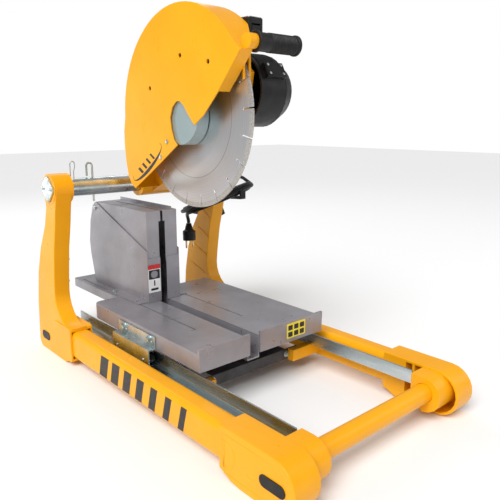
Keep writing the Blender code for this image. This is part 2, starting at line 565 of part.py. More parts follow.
def hub_edge():
    """Lower edge of the guard's side walls, from the back tip round the flanges to the tongue."""
    return [(0.1750, -0.1530), (0.0727, -0.0941), (0.0070, -0.0545), (0.0180, -0.0450), (0.0260, -0.0250),
            (0.0290, -0.0040), (0.0200, 0.0160), (0.0070, 0.0265), (-0.0060, 0.0270), (-0.0180, 0.0180),
            (-0.0300, 0.0040), (-0.0500, -0.0166), (-0.0790, 0.0012)]


def corner_wall(y_shift, reach):
    """Outline (x, y) of the guard's front corner: straight past the blade, then slanting back to the right."""
    slope = (NOSE_WALL_BACK - NOSE_WALL_FRONT) / (GUARD_RIGHT - NOSE_KNEE)
    places = (NOSE_SPLIT - 0.0010, NOSE_KNEE, GUARD_RIGHT + reach)
    return [(CUT_X + x, HEAD_Y + NOSE_WALL_FRONT + slope * max(0, x - NOSE_KNEE) + y_shift) for x in places]


def blade_guard():
    """Sheet hood over the blade. Left of the blade its nose is closed and carries the handle; right of it
    the front corner slants back as a wall with a slot for the blade."""
    shell = guard_rim() + [(0.150, -0.300), (-0.400, -0.300), (-0.400, -0.105)]
    guard = add_mesh("blade_guard", head_plate(shell, GUARD_LEFT, GUARD_RIGHT), YELLOW)
    soften(guard, 0.010, 3, 60)
    below = [(0.140, -0.400), (-0.500, -0.400)]
    left = guard_rim(GUARD_SHEET) + below + [(-0.500, -0.2045)]
    cut(guard, head_plate(left, GUARD_LEFT + GUARD_SHEET, NOSE_SPLIT - 0.0025))
    cut(guard, head_plate(left, NOSE_SPLIT, GUARD_RIGHT - GUARD_SHEET))
    behind = guard_rim(GUARD_SHEET, 139) + below[:1] + [(-0.1300, -0.400), (-0.1300, 0.0300)]
    cut(guard, head_plate(behind, NOSE_SPLIT - 0.0040, NOSE_SPLIT + 0.0010))
    front = corner_wall(0, 0.010)
    front += [(front[-1][0], HEAD_Y - 0.400), (CUT_X + NOSE_SPLIT, HEAD_Y - 0.400)]
    front[0] = (CUT_X + NOSE_SPLIT, HEAD_Y + NOSE_WALL_FRONT)
    cut(guard, plate_mesh(front, HEAD_Z - 0.300, HEAD_Z + 0.300, "Z"))
    wall = corner_wall(0.0002, -0.0005) + corner_wall(0.0036, -0.0005)[::-1]
    end_wall = join(guard, plate_mesh(wall, HEAD_Z + WALL_LOW, HEAD_Z + 0.250, "Z"))
    combine(end_wall, head_plate(guard_rim(0.0010) + below, GUARD_LEFT, GUARD_RIGHT), "INTERSECT")
    far = [(-0.450, 0.100), (-0.450, -0.350), (0.280, -0.350)]
    cut(guard, head_plate(hub_edge() + [(-0.1204, 0.0398), (-0.1810, 0.1050), (-0.1900, 0.1147)] + far,
                          GUARD_LEFT - 0.01, NOSE_SPLIT))
    cut(guard, head_plate(hub_edge() + [(-0.1204, 0.0298), (-0.1300, WALL_LOW), (-0.2100, WALL_LOW)] + far,
                          NOSE_SPLIT - 0.0002, GUARD_RIGHT + 0.01))
    cut(guard, box_mesh(head_point(-0.0045, -0.1800, 0.0300), head_point(0.0045, -0.1350, 0.0940)))
    lip = [(-0.1204, 0.0398), (-0.1187, 0.0416), (-0.1790, 0.1065), (-0.1807, 0.1047)]
    join(guard, head_plate(lip, GUARD_LEFT + 0.001, NOSE_SPLIT - 0.0010))
    cut(guard, head_rod(0.0580, GUARD_RIGHT - 0.006, GUARD_RIGHT + 0.02, 0, 0, 28))
    join(guard, head_rod(0.0125, GUARD_LEFT + 0.010, GRIP_START - GAP, GRIP_Y, GRIP_Z, 20))
    cut(guard, head_rod(BAR_RADIUS + GAP, GUARD_LEFT + 0.014, GRIP_START + 0.01, GRIP_Y, GRIP_Z, 18))
    for y, z in GUARD_HOLES:
        cut(guard, head_rod(0.0045, GUARD_LEFT - 0.01, GUARD_LEFT + 0.01, y, z, 12))
    use_manifold_solver(guard)
    use_manifold_solver(end_wall)
    return guard


def blade():
    """Steel core with rim slots between the diamond segments."""
    pitch = 360 / BLADE_SEGMENTS
    half_slot = asin(BLADE_SLOT_HALF / BLADE_RADIUS) * 180 / pi
    steps = []
    for i in range(BLADE_SEGMENTS):
        slot = BLADE_FIRST_SLOT + pitch * i
        steps += arc((0, 0), BLADE_RADIUS, slot + half_slot, slot + pitch - half_slot, 3)
        edge = radians(slot + pitch)
        for offset in (-BLADE_SLOT_HALF, BLADE_SLOT_HALF):
            steps.append((BLADE_SLOT_ROOT * cos(edge) - offset * sin(edge),
                          BLADE_SLOT_ROOT * sin(edge) + offset * cos(edge)))
    bore = arc((0, 0), BORE_RADIUS + GAP, 0, 345, 23)
    half = BLADE_THICKNESS / 2
    return add_mesh("blade", head_plate(steps, -half, half, (bore,)), STEEL)


def arbor_shaft():
    """Spindle with the fixed inner flange."""
    shaft = add_mesh("arbor_shaft", head_rod(BORE_RADIUS, -0.0120, 0.0400), STEEL)
    join(shaft, head_rod(SPINDLE_RADIUS, 0.0390, 0.0855, 0, 0, 20))
    join(shaft, head_rod(0.0400, BLADE_THICKNESS / 2 + GAP, 0.0100, 0, 0, 32))
    return shaft


def outer_flange():
    flange = add_mesh("outer_flange", head_rod(FLANGE_RADIUS, -0.0300, -BLADE_THICKNESS / 2 - GAP, 0, 0, 40), ZINC)
    cut(flange, head_rod(BORE_RADIUS + GAP, -0.0125, 0.01, 0, 0, 28))
    return flange


def arbor_bearing():
    ring = add_mesh("arbor_bearing", head_rod(BEARING_RADIUS, ARM_LEFT - 0.003, ARM_LEFT + 0.0045, 0, 0, 24), STEEL)
    cut(ring, head_rod(BORE_RADIUS + GAP, ARM_LEFT - 0.01, ARM_LEFT + 0.004, 0, 0, 28))
    cut(ring, head_rod(SPINDLE_RADIUS + GAP, ARM_LEFT - 0.01, ARM_LEFT + 0.02, 0, 0, 20))
    return ring


def gear_outline(teeth, tip, root, phase=0.0):
    points = []
    for i in range(teeth):
        for part, radius in ((0.0, root), (0.30, root), (0.42, tip), (0.78, tip), (0.90, root)):
            angle = 2 * pi * (i + part + phase) / teeth
            points.append((radius * cos(angle), radius * sin(angle)))
    return points


def driven_gear():
    bore = arc((0, 0), SPINDLE_RADIUS + GAP, 0, 342, 19)
    gear = head_plate(gear_outline(32, GEAR_TIP, GEAR_TIP - 0.0035), 0.0560, 0.0700, (bore,))
    return add_mesh("driven_gear", gear, STEEL)


def motor_rotor():
    """Armature with its shaft and the pinion cut on the shaft's end."""
    rotor = add_mesh("motor_rotor", head_rod(0.0240, 0.1000, 0.1500, MOTOR_Y, MOTOR_Z, 24), BRONZE)
    join(rotor, head_rod(0.0060, 0.0720, 0.1760, MOTOR_Y, MOTOR_Z, 16))
    pinion = [(MOTOR_Y + y, MOTOR_Z + z) for y, z in gear_outline(8, PINION_TIP, PINION_TIP - 0.0035, 0.1)]
    join(rotor, head_plate(pinion, 0.0560, 0.0730))
    return rotor


def motor_housing():
    """Motor shell: a drum with a flat underside and a box on its front, open at the outer end."""
    start = ARM_RIGHT + 0.0048
    outline = arc((MOTOR_Y, MOTOR_Z), MOTOR_RADIUS, -85, 265, 30)
    housing = add_mesh("motor_housing", head_plate(outline, start, MOTOR_SEAM), BLACK)
    lean = radians(28)
    forward, up = Vector((cos(lean), -sin(lean))), Vector((sin(lean), cos(lean)))
    corner = Vector((MOTOR_Y, MOTOR_Z)) - forward * 0.0790 - up * 0.0150
    box = [corner, corner + forward * 0.030, corner + forward * 0.030 + up * 0.030, corner + up * 0.030]
    join(housing, head_plate([tuple(p) for p in box], start + 0.012, start + 0.060))
    cut(housing, head_rod(MOTOR_RADIUS - 0.004, start - 0.01, MOTOR_END, MOTOR_Y, MOTOR_Z, 30))
    return housing


def motor_end_cover():
    """Domed end cover of the motor, with the rear bearing's seat inside."""
    cover = add_mesh("motor_end_cover", head_rod(MOTOR_RADIUS, MOTOR_SEAM + GAP, MOTOR_END, MOTOR_Y, MOTOR_Z, 32,
                                                 0.052), BLACK)
    cut(cover, head_rod(0.062, MOTOR_SEAM - 0.01, MOTOR_END - 0.010, MOTOR_Y, MOTOR_Z, 24, 0.046))
    join(cover, head_rod(0.0120, MOTOR_END - 0.020, MOTOR_END - 0.004, MOTOR_Y, MOTOR_Z, 20))
    cut(cover, head_rod(0.0060 + GAP, MOTOR_SEAM - 0.01, MOTOR_END - 0.008, MOTOR_Y, MOTOR_Z, 16))
    return cover


def handle_bar():
    bar = head_rod(BAR_RADIUS, GUARD_LEFT + 0.0145, GRIP_END - 0.006, GRIP_Y, GRIP_Z, 18)
    return add_mesh("handle_bar", bar, STEEL)


def handle_grip():
    """Rubber grip with a collar at both ends, blind at its outer end."""
    grip = add_mesh("handle_grip", head_rod(GRIP_RADIUS, GRIP_START, GRIP_END, GRIP_Y, GRIP_Z, 28), RUBBER)
    for place in (GRIP_START, GRIP_END - 0.005):
        join(grip, head_rod(GRIP_RADIUS + 0.002, place, place + 0.005, GRIP_Y, GRIP_Z, 28))
    cut(grip, head_rod(BAR_RADIUS + GAP, GRIP_START - 0.01, GRIP_END - 0.0055, GRIP_Y, GRIP_Z, 18))
    return grip


def switch_box():
    low, high = head_point(GUARD_RIGHT + GAP, -0.128, 0.116), head_point(0.0640, -0.096, 0.167)
    case = add_mesh("switch_box", box_mesh(low, high), BLACK)
    soften(case, 0.002, 1)
    cut(case, box_mesh(head_point(0.0370, -0.140, 0.128), head_point(0.0570, -0.1185, 0.156)))
    return case


def switch_rocker():
    rocker = head_plate([(-0.1300, 0.1305), (-0.1225, 0.1310), (-0.1225, 0.1530), (-0.1290, 0.1535),
                         (-0.1280, 0.1420)], 0.0376, 0.0564)
    return add_mesh("switch_rocker", rocker, DARK)


# power cord

def coil_frame():
    """Directions of the tilted coil: across, along and its axis."""
    across = Vector((0.75, -0.66, 0.40)).normalized()
    axis = Vector((-0.18, 0.25, 1.0))
    axis = (axis - axis.dot(across) * across).normalized()
    return across, axis.cross(across), axis


def coil_place(turn, radius=0.0, lift=0.0):
    across, along, axis = coil_frame()
    angle = radians(turn)
    reach = COIL_RADIUS + radius
    return COIL_CENTRE + reach * cos(angle) * across + reach * sin(angle) * along + lift * axis


def cord_coil():
    """Outer shape of the wound cord: a tilted ring round the right post."""
    across, along, axis = coil_frame()
    form = bmesh.new()
    turn = Matrix((across, along, axis)).transposed().to_4x4()
    turn.translation = COIL_CENTRE
    profile = bpy.data.meshes.new("coil")
    steps, sides = 40, 8
    rings = []
    for i in range(steps):
        angle = 2 * pi * i / steps
        ring = []
        for j in range(sides):
            tilt = 2 * pi * (j + 0.5) / sides
            reach = COIL_RADIUS + COIL_THICKNESS * cos(tilt)
            ring.append(form.verts.new((reach * cos(angle), reach * sin(angle), COIL_THICKNESS * sin(tilt))))
        rings.append(ring)
    for i in range(steps):
        here, there = rings[i], rings[(i + 1) % steps]
        for j in range(sides):
            k = (j + 1) % sides
            form.faces.new((here[j], there[j], there[k], here[k]))
    bmesh.ops.transform(form, matrix=turn, verts=form.verts)
    bmesh.ops.recalc_face_normals(form, faces=form.faces)
    form.to_mesh(profile)
    form.free()
    return add_mesh("cord_coil", profile, RUBBER)


def smooth_route(points, spacing):
    """Even points on a smooth curve through the route's own points."""
    ends = [points[0] * 2 - points[1]] + points + [points[-1] * 2 - points[-2]]
    fine = []
    for a, b, c, d in zip(ends, ends[1:], ends[2:], ends[3:]):
        for i in range(12):
            t = i / 12
            fine.append(0.5 * (2 * b + (c - a) * t + (2 * a - 5 * b + 4 * c - d) * t * t
                               + (3 * b - a - 3 * c + d) * t ** 3))
    fine.append(points[-1])
    length = sum((q - p).length for p, q in zip(fine, fine[1:]))
    count = max(3, round(length / spacing))
    route, walked, target = [fine[0]], 0.0, length / count
    for p, q in zip(fine, fine[1:]):
        step = (q - p).length
        while walked + step >= target * len(route) - 1e-9 and len(route) < count:
            route.append(p.lerp(q, (target * len(route) - walked) / step))
        walked += step
    return route + [fine[-1]]


def cord_lead():
    route = smooth_route([Vector(p) for p in LEAD_ROUTE], 0.010)
    return add_mesh("cord_lead", wire_mesh(route, CORD_RADIUS, 2), RUBBER)


def cord_tail():
    route = smooth_route([Vector(p) for p in TAIL_ROUTE], 0.008)
    return add_mesh("cord_tail", wire_mesh(route, CORD_RADIUS, 2), RUBBER)


def cord_gland():
    gland = rod_mesh(0.0066, (0.2200, PIVOT_Y, PIVOT_Z), (0.2622, PIVOT_Y, PIVOT_Z), 20, 0.0050)
    return add_mesh("cord_gland", gland, BLACK)


def plug_body():
    """Plug that hangs on the end of the cord, with its pins downwards."""
    top, lean = Vector((0.1370, 0.2919, 0.2597)), Vector((-0.05, -0.10, -1.0)).normalized()
    plug = add_mesh("plug", rod_mesh(0.0090, top, top + lean * 0.018, 16, 0.0165), BLACK)
    join(plug, rod_mesh(0.0165, top + lean * 0.0175, top + lean * 0.044, 20))
    for shift in (-0.0095, 0.0095):
        start = top + lean * 0.042 + Vector((shift, 0, 0))
        join(plug, rod_mesh(0.0024, start, start + lean * 0.021, 10))
    return plug


def cord_hook_front():
    outline = [(0.2504, 0.3315), (0.1650, 0.3340), (0.1650, 0.3480), (0.1600, 0.3480), (0.1600, 0.3280),
               (0.2526, 0.3215)]
    return add_mesh("cord_hook_front", plate_mesh(outline, 0.1980, 0.2140), BLACK)


def cord_hook_rear():
    outline = [(0.3278, 0.2700), (0.3610, 0.2700), (0.3610, 0.2950), (0.3560, 0.2950), (0.3560, 0.2805),
               (0.3213, 0.2805)]
    return add_mesh("cord_hook_rear", plate_mesh(outline, 0.1980, 0.2140), BLACK)


def cord_wedge():
    outline = [(0.3000, POST_OUT + GAP), (0.2985, 0.2280), (0.2765, 0.2370), (0.2720, POST_OUT + GAP)]
    return add_mesh("cord_wedge", plate_mesh(outline, 0.2680, 0.2860, "Y"), BLACK)


def set_origins():
    """Every piece hangs on one empty at the saw's middle; a moving piece has its origin on its own axis."""
    middle = bpy.data.objects.new("saw_middle", None)
    SAW.objects.link(middle)
    middle.location = (-MIDDLE_X, -MIDDLE_Y, 0)
    pivot = (0, PIVOT_Y, PIVOT_Z)
    arbor = (CUT_X, HEAD_Y, HEAD_Z)
    axes = {"head_arm": pivot, "gearbox_cover": pivot, "blade_guard": pivot, "motor_housing": pivot,
            "motor_end_cover": pivot, "handle_bar": pivot, "handle_grip": pivot, "switch_box": pivot,
            "arbor_bearing": pivot, "blade": arbor, "arbor_shaft": arbor, "outer_flange": arbor,
            "driven_gear": arbor, "motor_rotor": (CUT_X, HEAD_Y + MOTOR_Y, HEAD_Z + MOTOR_Z),
            "hood_flap": (CUT_X, FLAP_PIN_Y, FLAP_PIN_Z), "switch_rocker": head_point(ROCKER_X, ROCKER_Y, ROCKER_Z)}
    for side in (-1, 1):
        for y, label in zip(ROLLER_YS, ("front", "rear")):
            axes["roller_%s_%s" % (side_name(side), label)] = (side * ROLLER_X, y, ROLLER_Z)
    for thing in (*SAW.objects, *TOOLS.objects):
        if thing is not middle:
            thing.parent = middle
    for name, place in axes.items():
        thing = bpy.data.objects[name]
        thing.data.transform(Matrix.Translation(-Vector(place)))
        thing.location = place


def build_frame():
    for side in (-1, 1):
        side_beam(side)
        front_casting(side)
        upright(side)
        rail(side)
        pivot_flange(side)
        foot_plug(side, "front", CAST_OUT, -0.398, 0.041, 0.050)
        foot_plug(side, "rear", POST_OUT, 0.352, 0.034, 0.040)
    front_cross_tube()
    under_cross_bar()
    pivot_tube()
    tube_clip()
    lock_pin()


def build_table():
    table_tray()
    blade_trough()
    for side in (-1, 1):
        roller_bracket(side)
        for y, label in zip(ROLLER_YS, ("front", "rear")):
            roller_axle(side, y, label)
            roller(side, y, label)
        hood_bolt(side)
    hood_box()
    hood_flap()
    flap_pin()


def build_head():
    head_arm()
    gearbox_cover()
    blade_guard()
    blade()
    arbor_shaft()
    outer_flange()
    arbor_bearing()
    driven_gear()
    motor_rotor()
    motor_housing()
    motor_end_cover()
    handle_bar()
    handle_grip()
    switch_box()
    switch_rocker()


def build_cord():
    cord_gland()
    cord_lead()
    cord_coil()
    cord_tail()
    plug_body()
    cord_hook_front()
    cord_hook_rear()
    cord_wedge()


clear_scene()
SAW = new_collection("masonry_saw")
TOOLS = new_collection("tools")
build_frame()
build_table()
build_head()
build_cord()
set_origins()
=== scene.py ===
from math import cos, pi, radians, sin

import bmesh
import bpy
from mathutils import Matrix, Vector


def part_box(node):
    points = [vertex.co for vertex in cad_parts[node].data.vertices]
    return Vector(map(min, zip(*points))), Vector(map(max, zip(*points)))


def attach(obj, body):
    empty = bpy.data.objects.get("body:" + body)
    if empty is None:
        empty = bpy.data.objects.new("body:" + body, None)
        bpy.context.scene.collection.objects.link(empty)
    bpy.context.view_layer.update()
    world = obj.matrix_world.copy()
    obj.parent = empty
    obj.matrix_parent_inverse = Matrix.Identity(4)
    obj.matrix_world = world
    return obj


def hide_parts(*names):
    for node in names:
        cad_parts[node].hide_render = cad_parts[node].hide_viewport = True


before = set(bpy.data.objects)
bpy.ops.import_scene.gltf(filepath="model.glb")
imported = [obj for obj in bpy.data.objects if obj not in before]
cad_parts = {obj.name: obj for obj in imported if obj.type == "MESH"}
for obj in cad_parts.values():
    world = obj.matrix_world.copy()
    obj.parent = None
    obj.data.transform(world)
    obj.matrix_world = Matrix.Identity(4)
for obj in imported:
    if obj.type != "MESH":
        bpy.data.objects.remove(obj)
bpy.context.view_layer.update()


# Camera: it stands low at the saw's left front corner and looks along the saw and slightly down, through a
# normal lens without shift or depth of field.
camera_data = bpy.data.cameras.new("camera")
camera_data.lens = 40.76
camera_data.sensor_width = 36
camera = bpy.data.objects.new("camera", camera_data)
camera.location = (-0.6873, -0.8854, 0.5078)
camera.rotation_euler = (radians(90 - 12.66), 0, radians(-41.43))
bpy.context.scene.collection.objects.link(camera)
bpy.context.scene.camera = camera


# Floor and light: a pale floor, a wide soft sun from the upper left, four softboxes for the glints, and a
# pale sky that is brighter behind the saw than it shines on it.
def new_object(name, mesh):
    thing = bpy.data.objects.new(name, mesh)
    bpy.context.scene.collection.objects.link(thing)
    return thing


def mesh_from(form, name):
    mesh = bpy.data.meshes.new(name)
    form.to_mesh(mesh)
    form.free()
    return mesh


floor_form = bmesh.new()
bmesh.ops.create_grid(floor_form, x_segments=1, y_segments=1, size=9)
bmesh.ops.translate(floor_form, vec=(0, 0, -0.0006), verts=floor_form.verts)
floor = new_object("floor", mesh_from(floor_form, "floor"))
floor_paint = bpy.data.materials.new("pale_floor")
floor_paint.use_nodes = True
floor_paint.node_tree.nodes["Principled BSDF"].inputs["Base Color"].default_value = (0.93, 0.93, 0.93, 1)
floor_paint.node_tree.nodes["Principled BSDF"].inputs["Roughness"].default_value = 0.6
floor_paint.node_tree.nodes["Principled BSDF"].inputs["Specular IOR Level"].default_value = 0.2
floor.data.materials.append(floor_paint)

world = bpy.data.worlds.new("studio")
world.use_nodes = True
sky, sky_links = world.node_tree.nodes, world.node_tree.links
backdrop, fill_light = sky["Background"], sky.new("ShaderNodeBackground")
backdrop.inputs["Color"].default_value = (1.0, 1.0, 1.0, 1)
backdrop.inputs["Strength"].default_value = 1.0
fill_light.inputs["Color"].default_value = (1.0, 1.0, 1.0, 1)
fill_light.inputs["Strength"].default_value = 0.36
ray, either = sky.new("ShaderNodeLightPath"), sky.new("ShaderNodeMixShader")
sky_links.new(ray.outputs["Is Camera Ray"], either.inputs["Fac"])
sky_links.new(fill_light.outputs[0], either.inputs[1])
sky_links.new(backdrop.outputs[0], either.inputs[2])
sky_links.new(either.outputs[0], sky["World Output"].inputs["Surface"])
bpy.context.scene.world = world
bpy.context.scene.view_settings.view_transform = "Standard"

sun = bpy.data.lights.new("soft_sun", "SUN")
sun.energy = 2.5
sun.angle = radians(38)
sun_holder = bpy.data.objects.new("soft_sun", sun)
sun_holder.rotation_euler = Vector((0.62, 0.30, -0.80)).to_track_quat("-Z", "Y").to_euler()
bpy.context.scene.collection.objects.link(sun_holder)


def softbox(name, place, target, size, power):
    lamp = bpy.data.lights.new(name, "AREA")
    lamp.shape = "RECTANGLE"
    lamp.size, lamp.size_y = size
    lamp.energy = power
    holder = bpy.data.objects.new(name, lamp)
    holder.location = place
    holder.rotation_euler = (Vector(target) - Vector(place)).to_track_quat("-Z", "Y").to_euler()
    holder.visible_camera = False
    bpy.context.scene.collection.objects.link(holder)


softbox("key_light", (-1.9, -0.9, 1.5), (0, 0, 0.35), (1.0, 1.0), 9)
softbox("side_light", (1.9, -1.5, 1.3), (0, 0, 0.3), (1.0, 1.4), 6)
softbox("back_light", (0.8, 2.2, 2.0), (0, 0, 0.35), (1.8, 0.9), 10)
softbox("blade_light", (-1.05, 3.0, 0.45), (0, 0, 0.5), (0.35, 0.8), 4.5)


# Power cord: a round rubber cable. It comes out of the gland on the pivot's right end, is wound three and a
# third times into a four-strand ring that hangs round the right post, and ends in the plug under it.
CORD_RADIUS = 0.00425
COIL_CENTRE = Vector((0.1994, 0.2470, 0.3205))
COIL_RADIUS, STRAND_OFFSET = 0.088, 0.0061
LEAD_ROUTE = [Vector(p) for p in ((0.2585, 0.2590, 0.3750), (0.2649, 0.2590, 0.3750), (0.2749, 0.2560, 0.3725),
                                  (0.2839, 0.2440, 0.3675), (0.2869, 0.2330, 0.3615))]
TAIL_ROUTE = [Vector(p) for p in ((0.1334, 0.2830, 0.2760), (0.1331, 0.2810, 0.2690), (0.1329, 0.2790, 0.2605))]
PLUG_TOP = Vector((0.1329, 0.2789, 0.2597))
PLUG_LEAN = Vector((-0.05, -0.10, -1.0)).normalized()

coil_across = Vector((0.75, -0.66, 0.40)).normalized()
coil_axis = Vector((-0.18, 0.25, 1.0))
coil_axis = (coil_axis - coil_axis.dot(coil_across) * coil_across).normalized()
coil_along = coil_axis.cross(coil_across)


def strand_point(turned, phase):
    """A point on the winding: turned round the coil, at a phase round the ring's own centre line."""
    outward = cos(turned) * coil_across + sin(turned) * coil_along
    return (COIL_CENTRE + (COIL_RADIUS + STRAND_OFFSET * cos(phase)) * outward
            + STRAND_OFFSET * sin(phase) * coil_axis)


def smooth_through(points, count):
    """A Catmull-Rom curve through the points, with count steps between each pair."""
    ends = [points[0] * 2 - points[1]] + points + [points[-1] * 2 - points[-2]]
    fine = []
    for a, b, c, d in zip(ends, ends[1:], ends[2:], ends[3:]):
        for i in range(count):
            t = i / count
            fine.append(0.5 * (2 * b + (c - a) * t + (2 * a - 5 * b + 4 * c - d) * t * t
                               + (3 * b - a - 3 * c + d) * t ** 3))
    return fine + [points[-1]]


def swing(start, leaving, end, arriving, count):
    """A Hermite bend between two points, without its first and last point."""
    bend = []
    for i in range(1, count):
        t = i / count
        bend.append((2 * t ** 3 - 3 * t * t + 1) * start + (t ** 3 - 2 * t * t + t) * leaving
                    + (3 * t * t - 2 * t ** 3) * end + (t ** 3 - t * t) * arriving)
    return bend


ENTRY_TURN, ENTRY_PHASE, LAST_TURN = radians(-18), radians(-20), radians(217 - 4 * 360)
WINDING_STEP = radians(-6)
ENTRY_PULL, EXIT_PULL, PLUG_PULL, BEND_STEPS = 0.075, 0.058, 0.050, 14
coil_steps = round((LAST_TURN - ENTRY_TURN) / WINDING_STEP)
winding = []
for step in range(coil_steps + 1):
    turned = ENTRY_TURN + WINDING_STEP * step
    winding.append(strand_point(turned, ENTRY_PHASE + (ENTRY_TURN - turned) / 4))
lead = smooth_through(LEAD_ROUTE, 6)
into_coil = swing(lead[-1], (lead[-1] - lead[-2]).normalized() * ENTRY_PULL,
                  winding[0], (winding[1] - winding[0]).normalized() * ENTRY_PULL, BEND_STEPS)
out_of_coil = swing(winding[-1], (winding[-1] - winding[-2]).normalized() * EXIT_PULL,
                    TAIL_ROUTE[-1], PLUG_LEAN * PLUG_PULL, BEND_STEPS)
cord_points = lead + into_coil + winding + out_of_coil + [TAIL_ROUTE[-1]]


def new_material(name, colour, roughness, metallic=0.0):
    """A Principled material with its even values set, ready for its pattern."""
    made = bpy.data.materials.new(name)
    made.use_nodes = True
    shader = made.node_tree.nodes["Principled BSDF"]
    shader.inputs["Base Color"].default_value = (*colour, 1)
    shader.inputs["Roughness"].default_value = roughness
    shader.inputs["Metallic"].default_value = metallic
    return made


def add_node(made, kind, **values):
    """A node of a material, with the sockets or settings that are named."""
    node = made.node_tree.nodes.new(kind)
    for key, value in values.items():
        if key in node.inputs:
            node.inputs[key].default_value = value
        else:
            setattr(node, key, value)
    return node


def wire_up(made, *pairs):
    for output, entry in pairs:
        made.node_tree.links.new(output, entry)


def shader_of(made):
    return made.node_tree.nodes["Principled BSDF"]


def noise_over(made, stretch, scale, detail, rough):
    """Noise that lies on the piece's own coordinates, stretched along its axes."""
    place, mapping = add_node(made, "ShaderNodeTexCoord"), add_node(made, "ShaderNodeMapping", Scale=stretch)
    noise = add_node(made, "ShaderNodeTexNoise", Scale=scale, Detail=detail, Roughness=rough)
    wire_up(made, (place.outputs["Object"], mapping.inputs["Vector"]),
            (mapping.outputs["Vector"], noise.inputs["Vector"]))
    return noise.outputs["Fac"]


def ramp_between(made, low, dark, high, light):
    """A colour ramp from a dark tone at low to a light one at high."""
    ramp = add_node(made, "ShaderNodeValToRGB")
    for stop, position, tone in zip(ramp.color_ramp.elements, (low, high), (dark, light)):
        stop.position, stop.color = position, (*tone, 1)
    return ramp


def mottled(made, dark, light, scale, detail=5.0, low=0.35, high=0.65, stretch=(1, 1, 1)):
    """Colour that drifts between two tones over the surface."""
    ramp = ramp_between(made, low, dark, high, light)
    wire_up(made, (noise_over(made, stretch, scale, detail, 0.6), ramp.inputs["Fac"]),
            (ramp.outputs["Color"], shader_of(made).inputs["Base Color"]))


def uneven_gloss(made, low, high, scale, stretch=(1, 1, 1)):
    """Roughness that varies between two values, from handling and from the coat itself."""
    limits = {"From Min": 0.3, "From Max": 0.7, "To Min": low, "To Max": high}
    spread = add_node(made, "ShaderNodeMapRange", **limits)
    wire_up(made, (noise_over(made, stretch, scale, 4.0, 0.55), spread.inputs["Value"]),
            (spread.outputs["Result"], shader_of(made).inputs["Roughness"]))


def fine_bump(made, scale, depth, strength=1.0, stretch=(1, 1, 1)):
    """A fine surface texture: depth is its height in metres."""
    bump = add_node(made, "ShaderNodeBump", Strength=strength, Distance=depth)
    wire_up(made, (noise_over(made, stretch, scale, 3.0, 0.5), bump.inputs["Height"]),
            (bump.outputs["Normal"], shader_of(made).inputs["Normal"]))


cable_rubber = new_material("cable_rubber", (0.014, 0.014, 0.015), 0.42)
shader_of(cable_rubber).inputs["Specular IOR Level"].default_value = 0.30
mottled(cable_rubber, (0.006, 0.006, 0.006), (0.014, 0.014, 0.015), 60)
fine_bump(cable_rubber, 900, 0.00012)
uneven_gloss(cable_rubber, 0.34, 0.52, 90)

cord_line = bpy.data.curves.new("power_cord", "CURVE")
cord_line.dimensions = "3D"
cord_line.bevel_depth = CORD_RADIUS
cord_line.bevel_resolution = 5
cord_line.use_fill_caps = True
spline = cord_line.splines.new("POLY")
spline.points.add(len(cord_points) - 1)
for point, place in zip(spline.points, cord_points):
    point.co = (*place, 1)
spline.use_smooth = True
power_cord = new_object("power_cord", cord_line)
cord_line.materials.append(cable_rubber)
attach(power_cord, "root")
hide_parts("cord_lead", "cord_coil", "cord_tail")


# Gland and plug: moulded black pieces on the cord. The gland is a ribbed, tapered sleeve; the plug has a
# ribbed neck, a round body with a narrow groove round it, and two brass pins.
def turned(name, profile, start, direction, sides=40):
    """A body turned from (along, radius) pairs about a line from start, closed where the radius is zero."""
    form = bmesh.new()
    way = Vector(direction).normalized()
    turn = way.to_track_quat("Z", "Y").to_matrix()
    rings = []
    for along, radius in profile:
        if radius == 0:
            rings.append([form.verts.new(Vector(start) + way * along)])
            continue
        rings.append([form.verts.new(Vector(start) + turn @ Vector((radius * cos(2 * pi * k / sides),
                                                                     radius * sin(2 * pi * k / sides), along)))
                      for k in range(sides)])
    for here, there in zip(rings, rings[1:]):
        for k in range(sides):
            following = (k + 1) % sides
            corners = [here[k % len(here)], here[following % len(here)],
                       there[following % len(there)], there[k % len(there)]]
            form.faces.new(list(dict.fromkeys(corners)))
    bmesh.ops.recalc_face_normals(form, faces=form.faces)
    thing = new_object(name, mesh_from(form, name))
    thing.data.shade_smooth()
    thing.data.set_sharp_from_angle(angle=radians(32))
    return thing


def dress(thing, finish, body, slot, *nodes):
    """Material, body and the CAD nodes that a finished piece stands for; the slot is not used."""
    thing.data.materials.clear()
    thing.data.materials.append(finish)
    for face in thing.data.polygons:
        face.material_index = 0
    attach(thing, body)
    if nodes:
        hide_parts(*nodes)
    return thing


moulded_black = new_material("moulded_black", (0.010, 0.010, 0.011), 0.38)
shader_of(moulded_black).inputs["Specular IOR Level"].default_value = 0.28
mottled(moulded_black, (0.006, 0.006, 0.006), (0.013, 0.013, 0.014), 35)
fine_bump(moulded_black, 1400, 0.00010, 0.7)
uneven_gloss(moulded_black, 0.30, 0.50, 60)

pin_brass = new_material("pin_brass", (0.80, 0.58, 0.28), 0.25, 1.0)
mottled(pin_brass, (0.72, 0.50, 0.22), (0.86, 0.66, 0.36), 160)
uneven_gloss(pin_brass, 0.18, 0.34, 220)

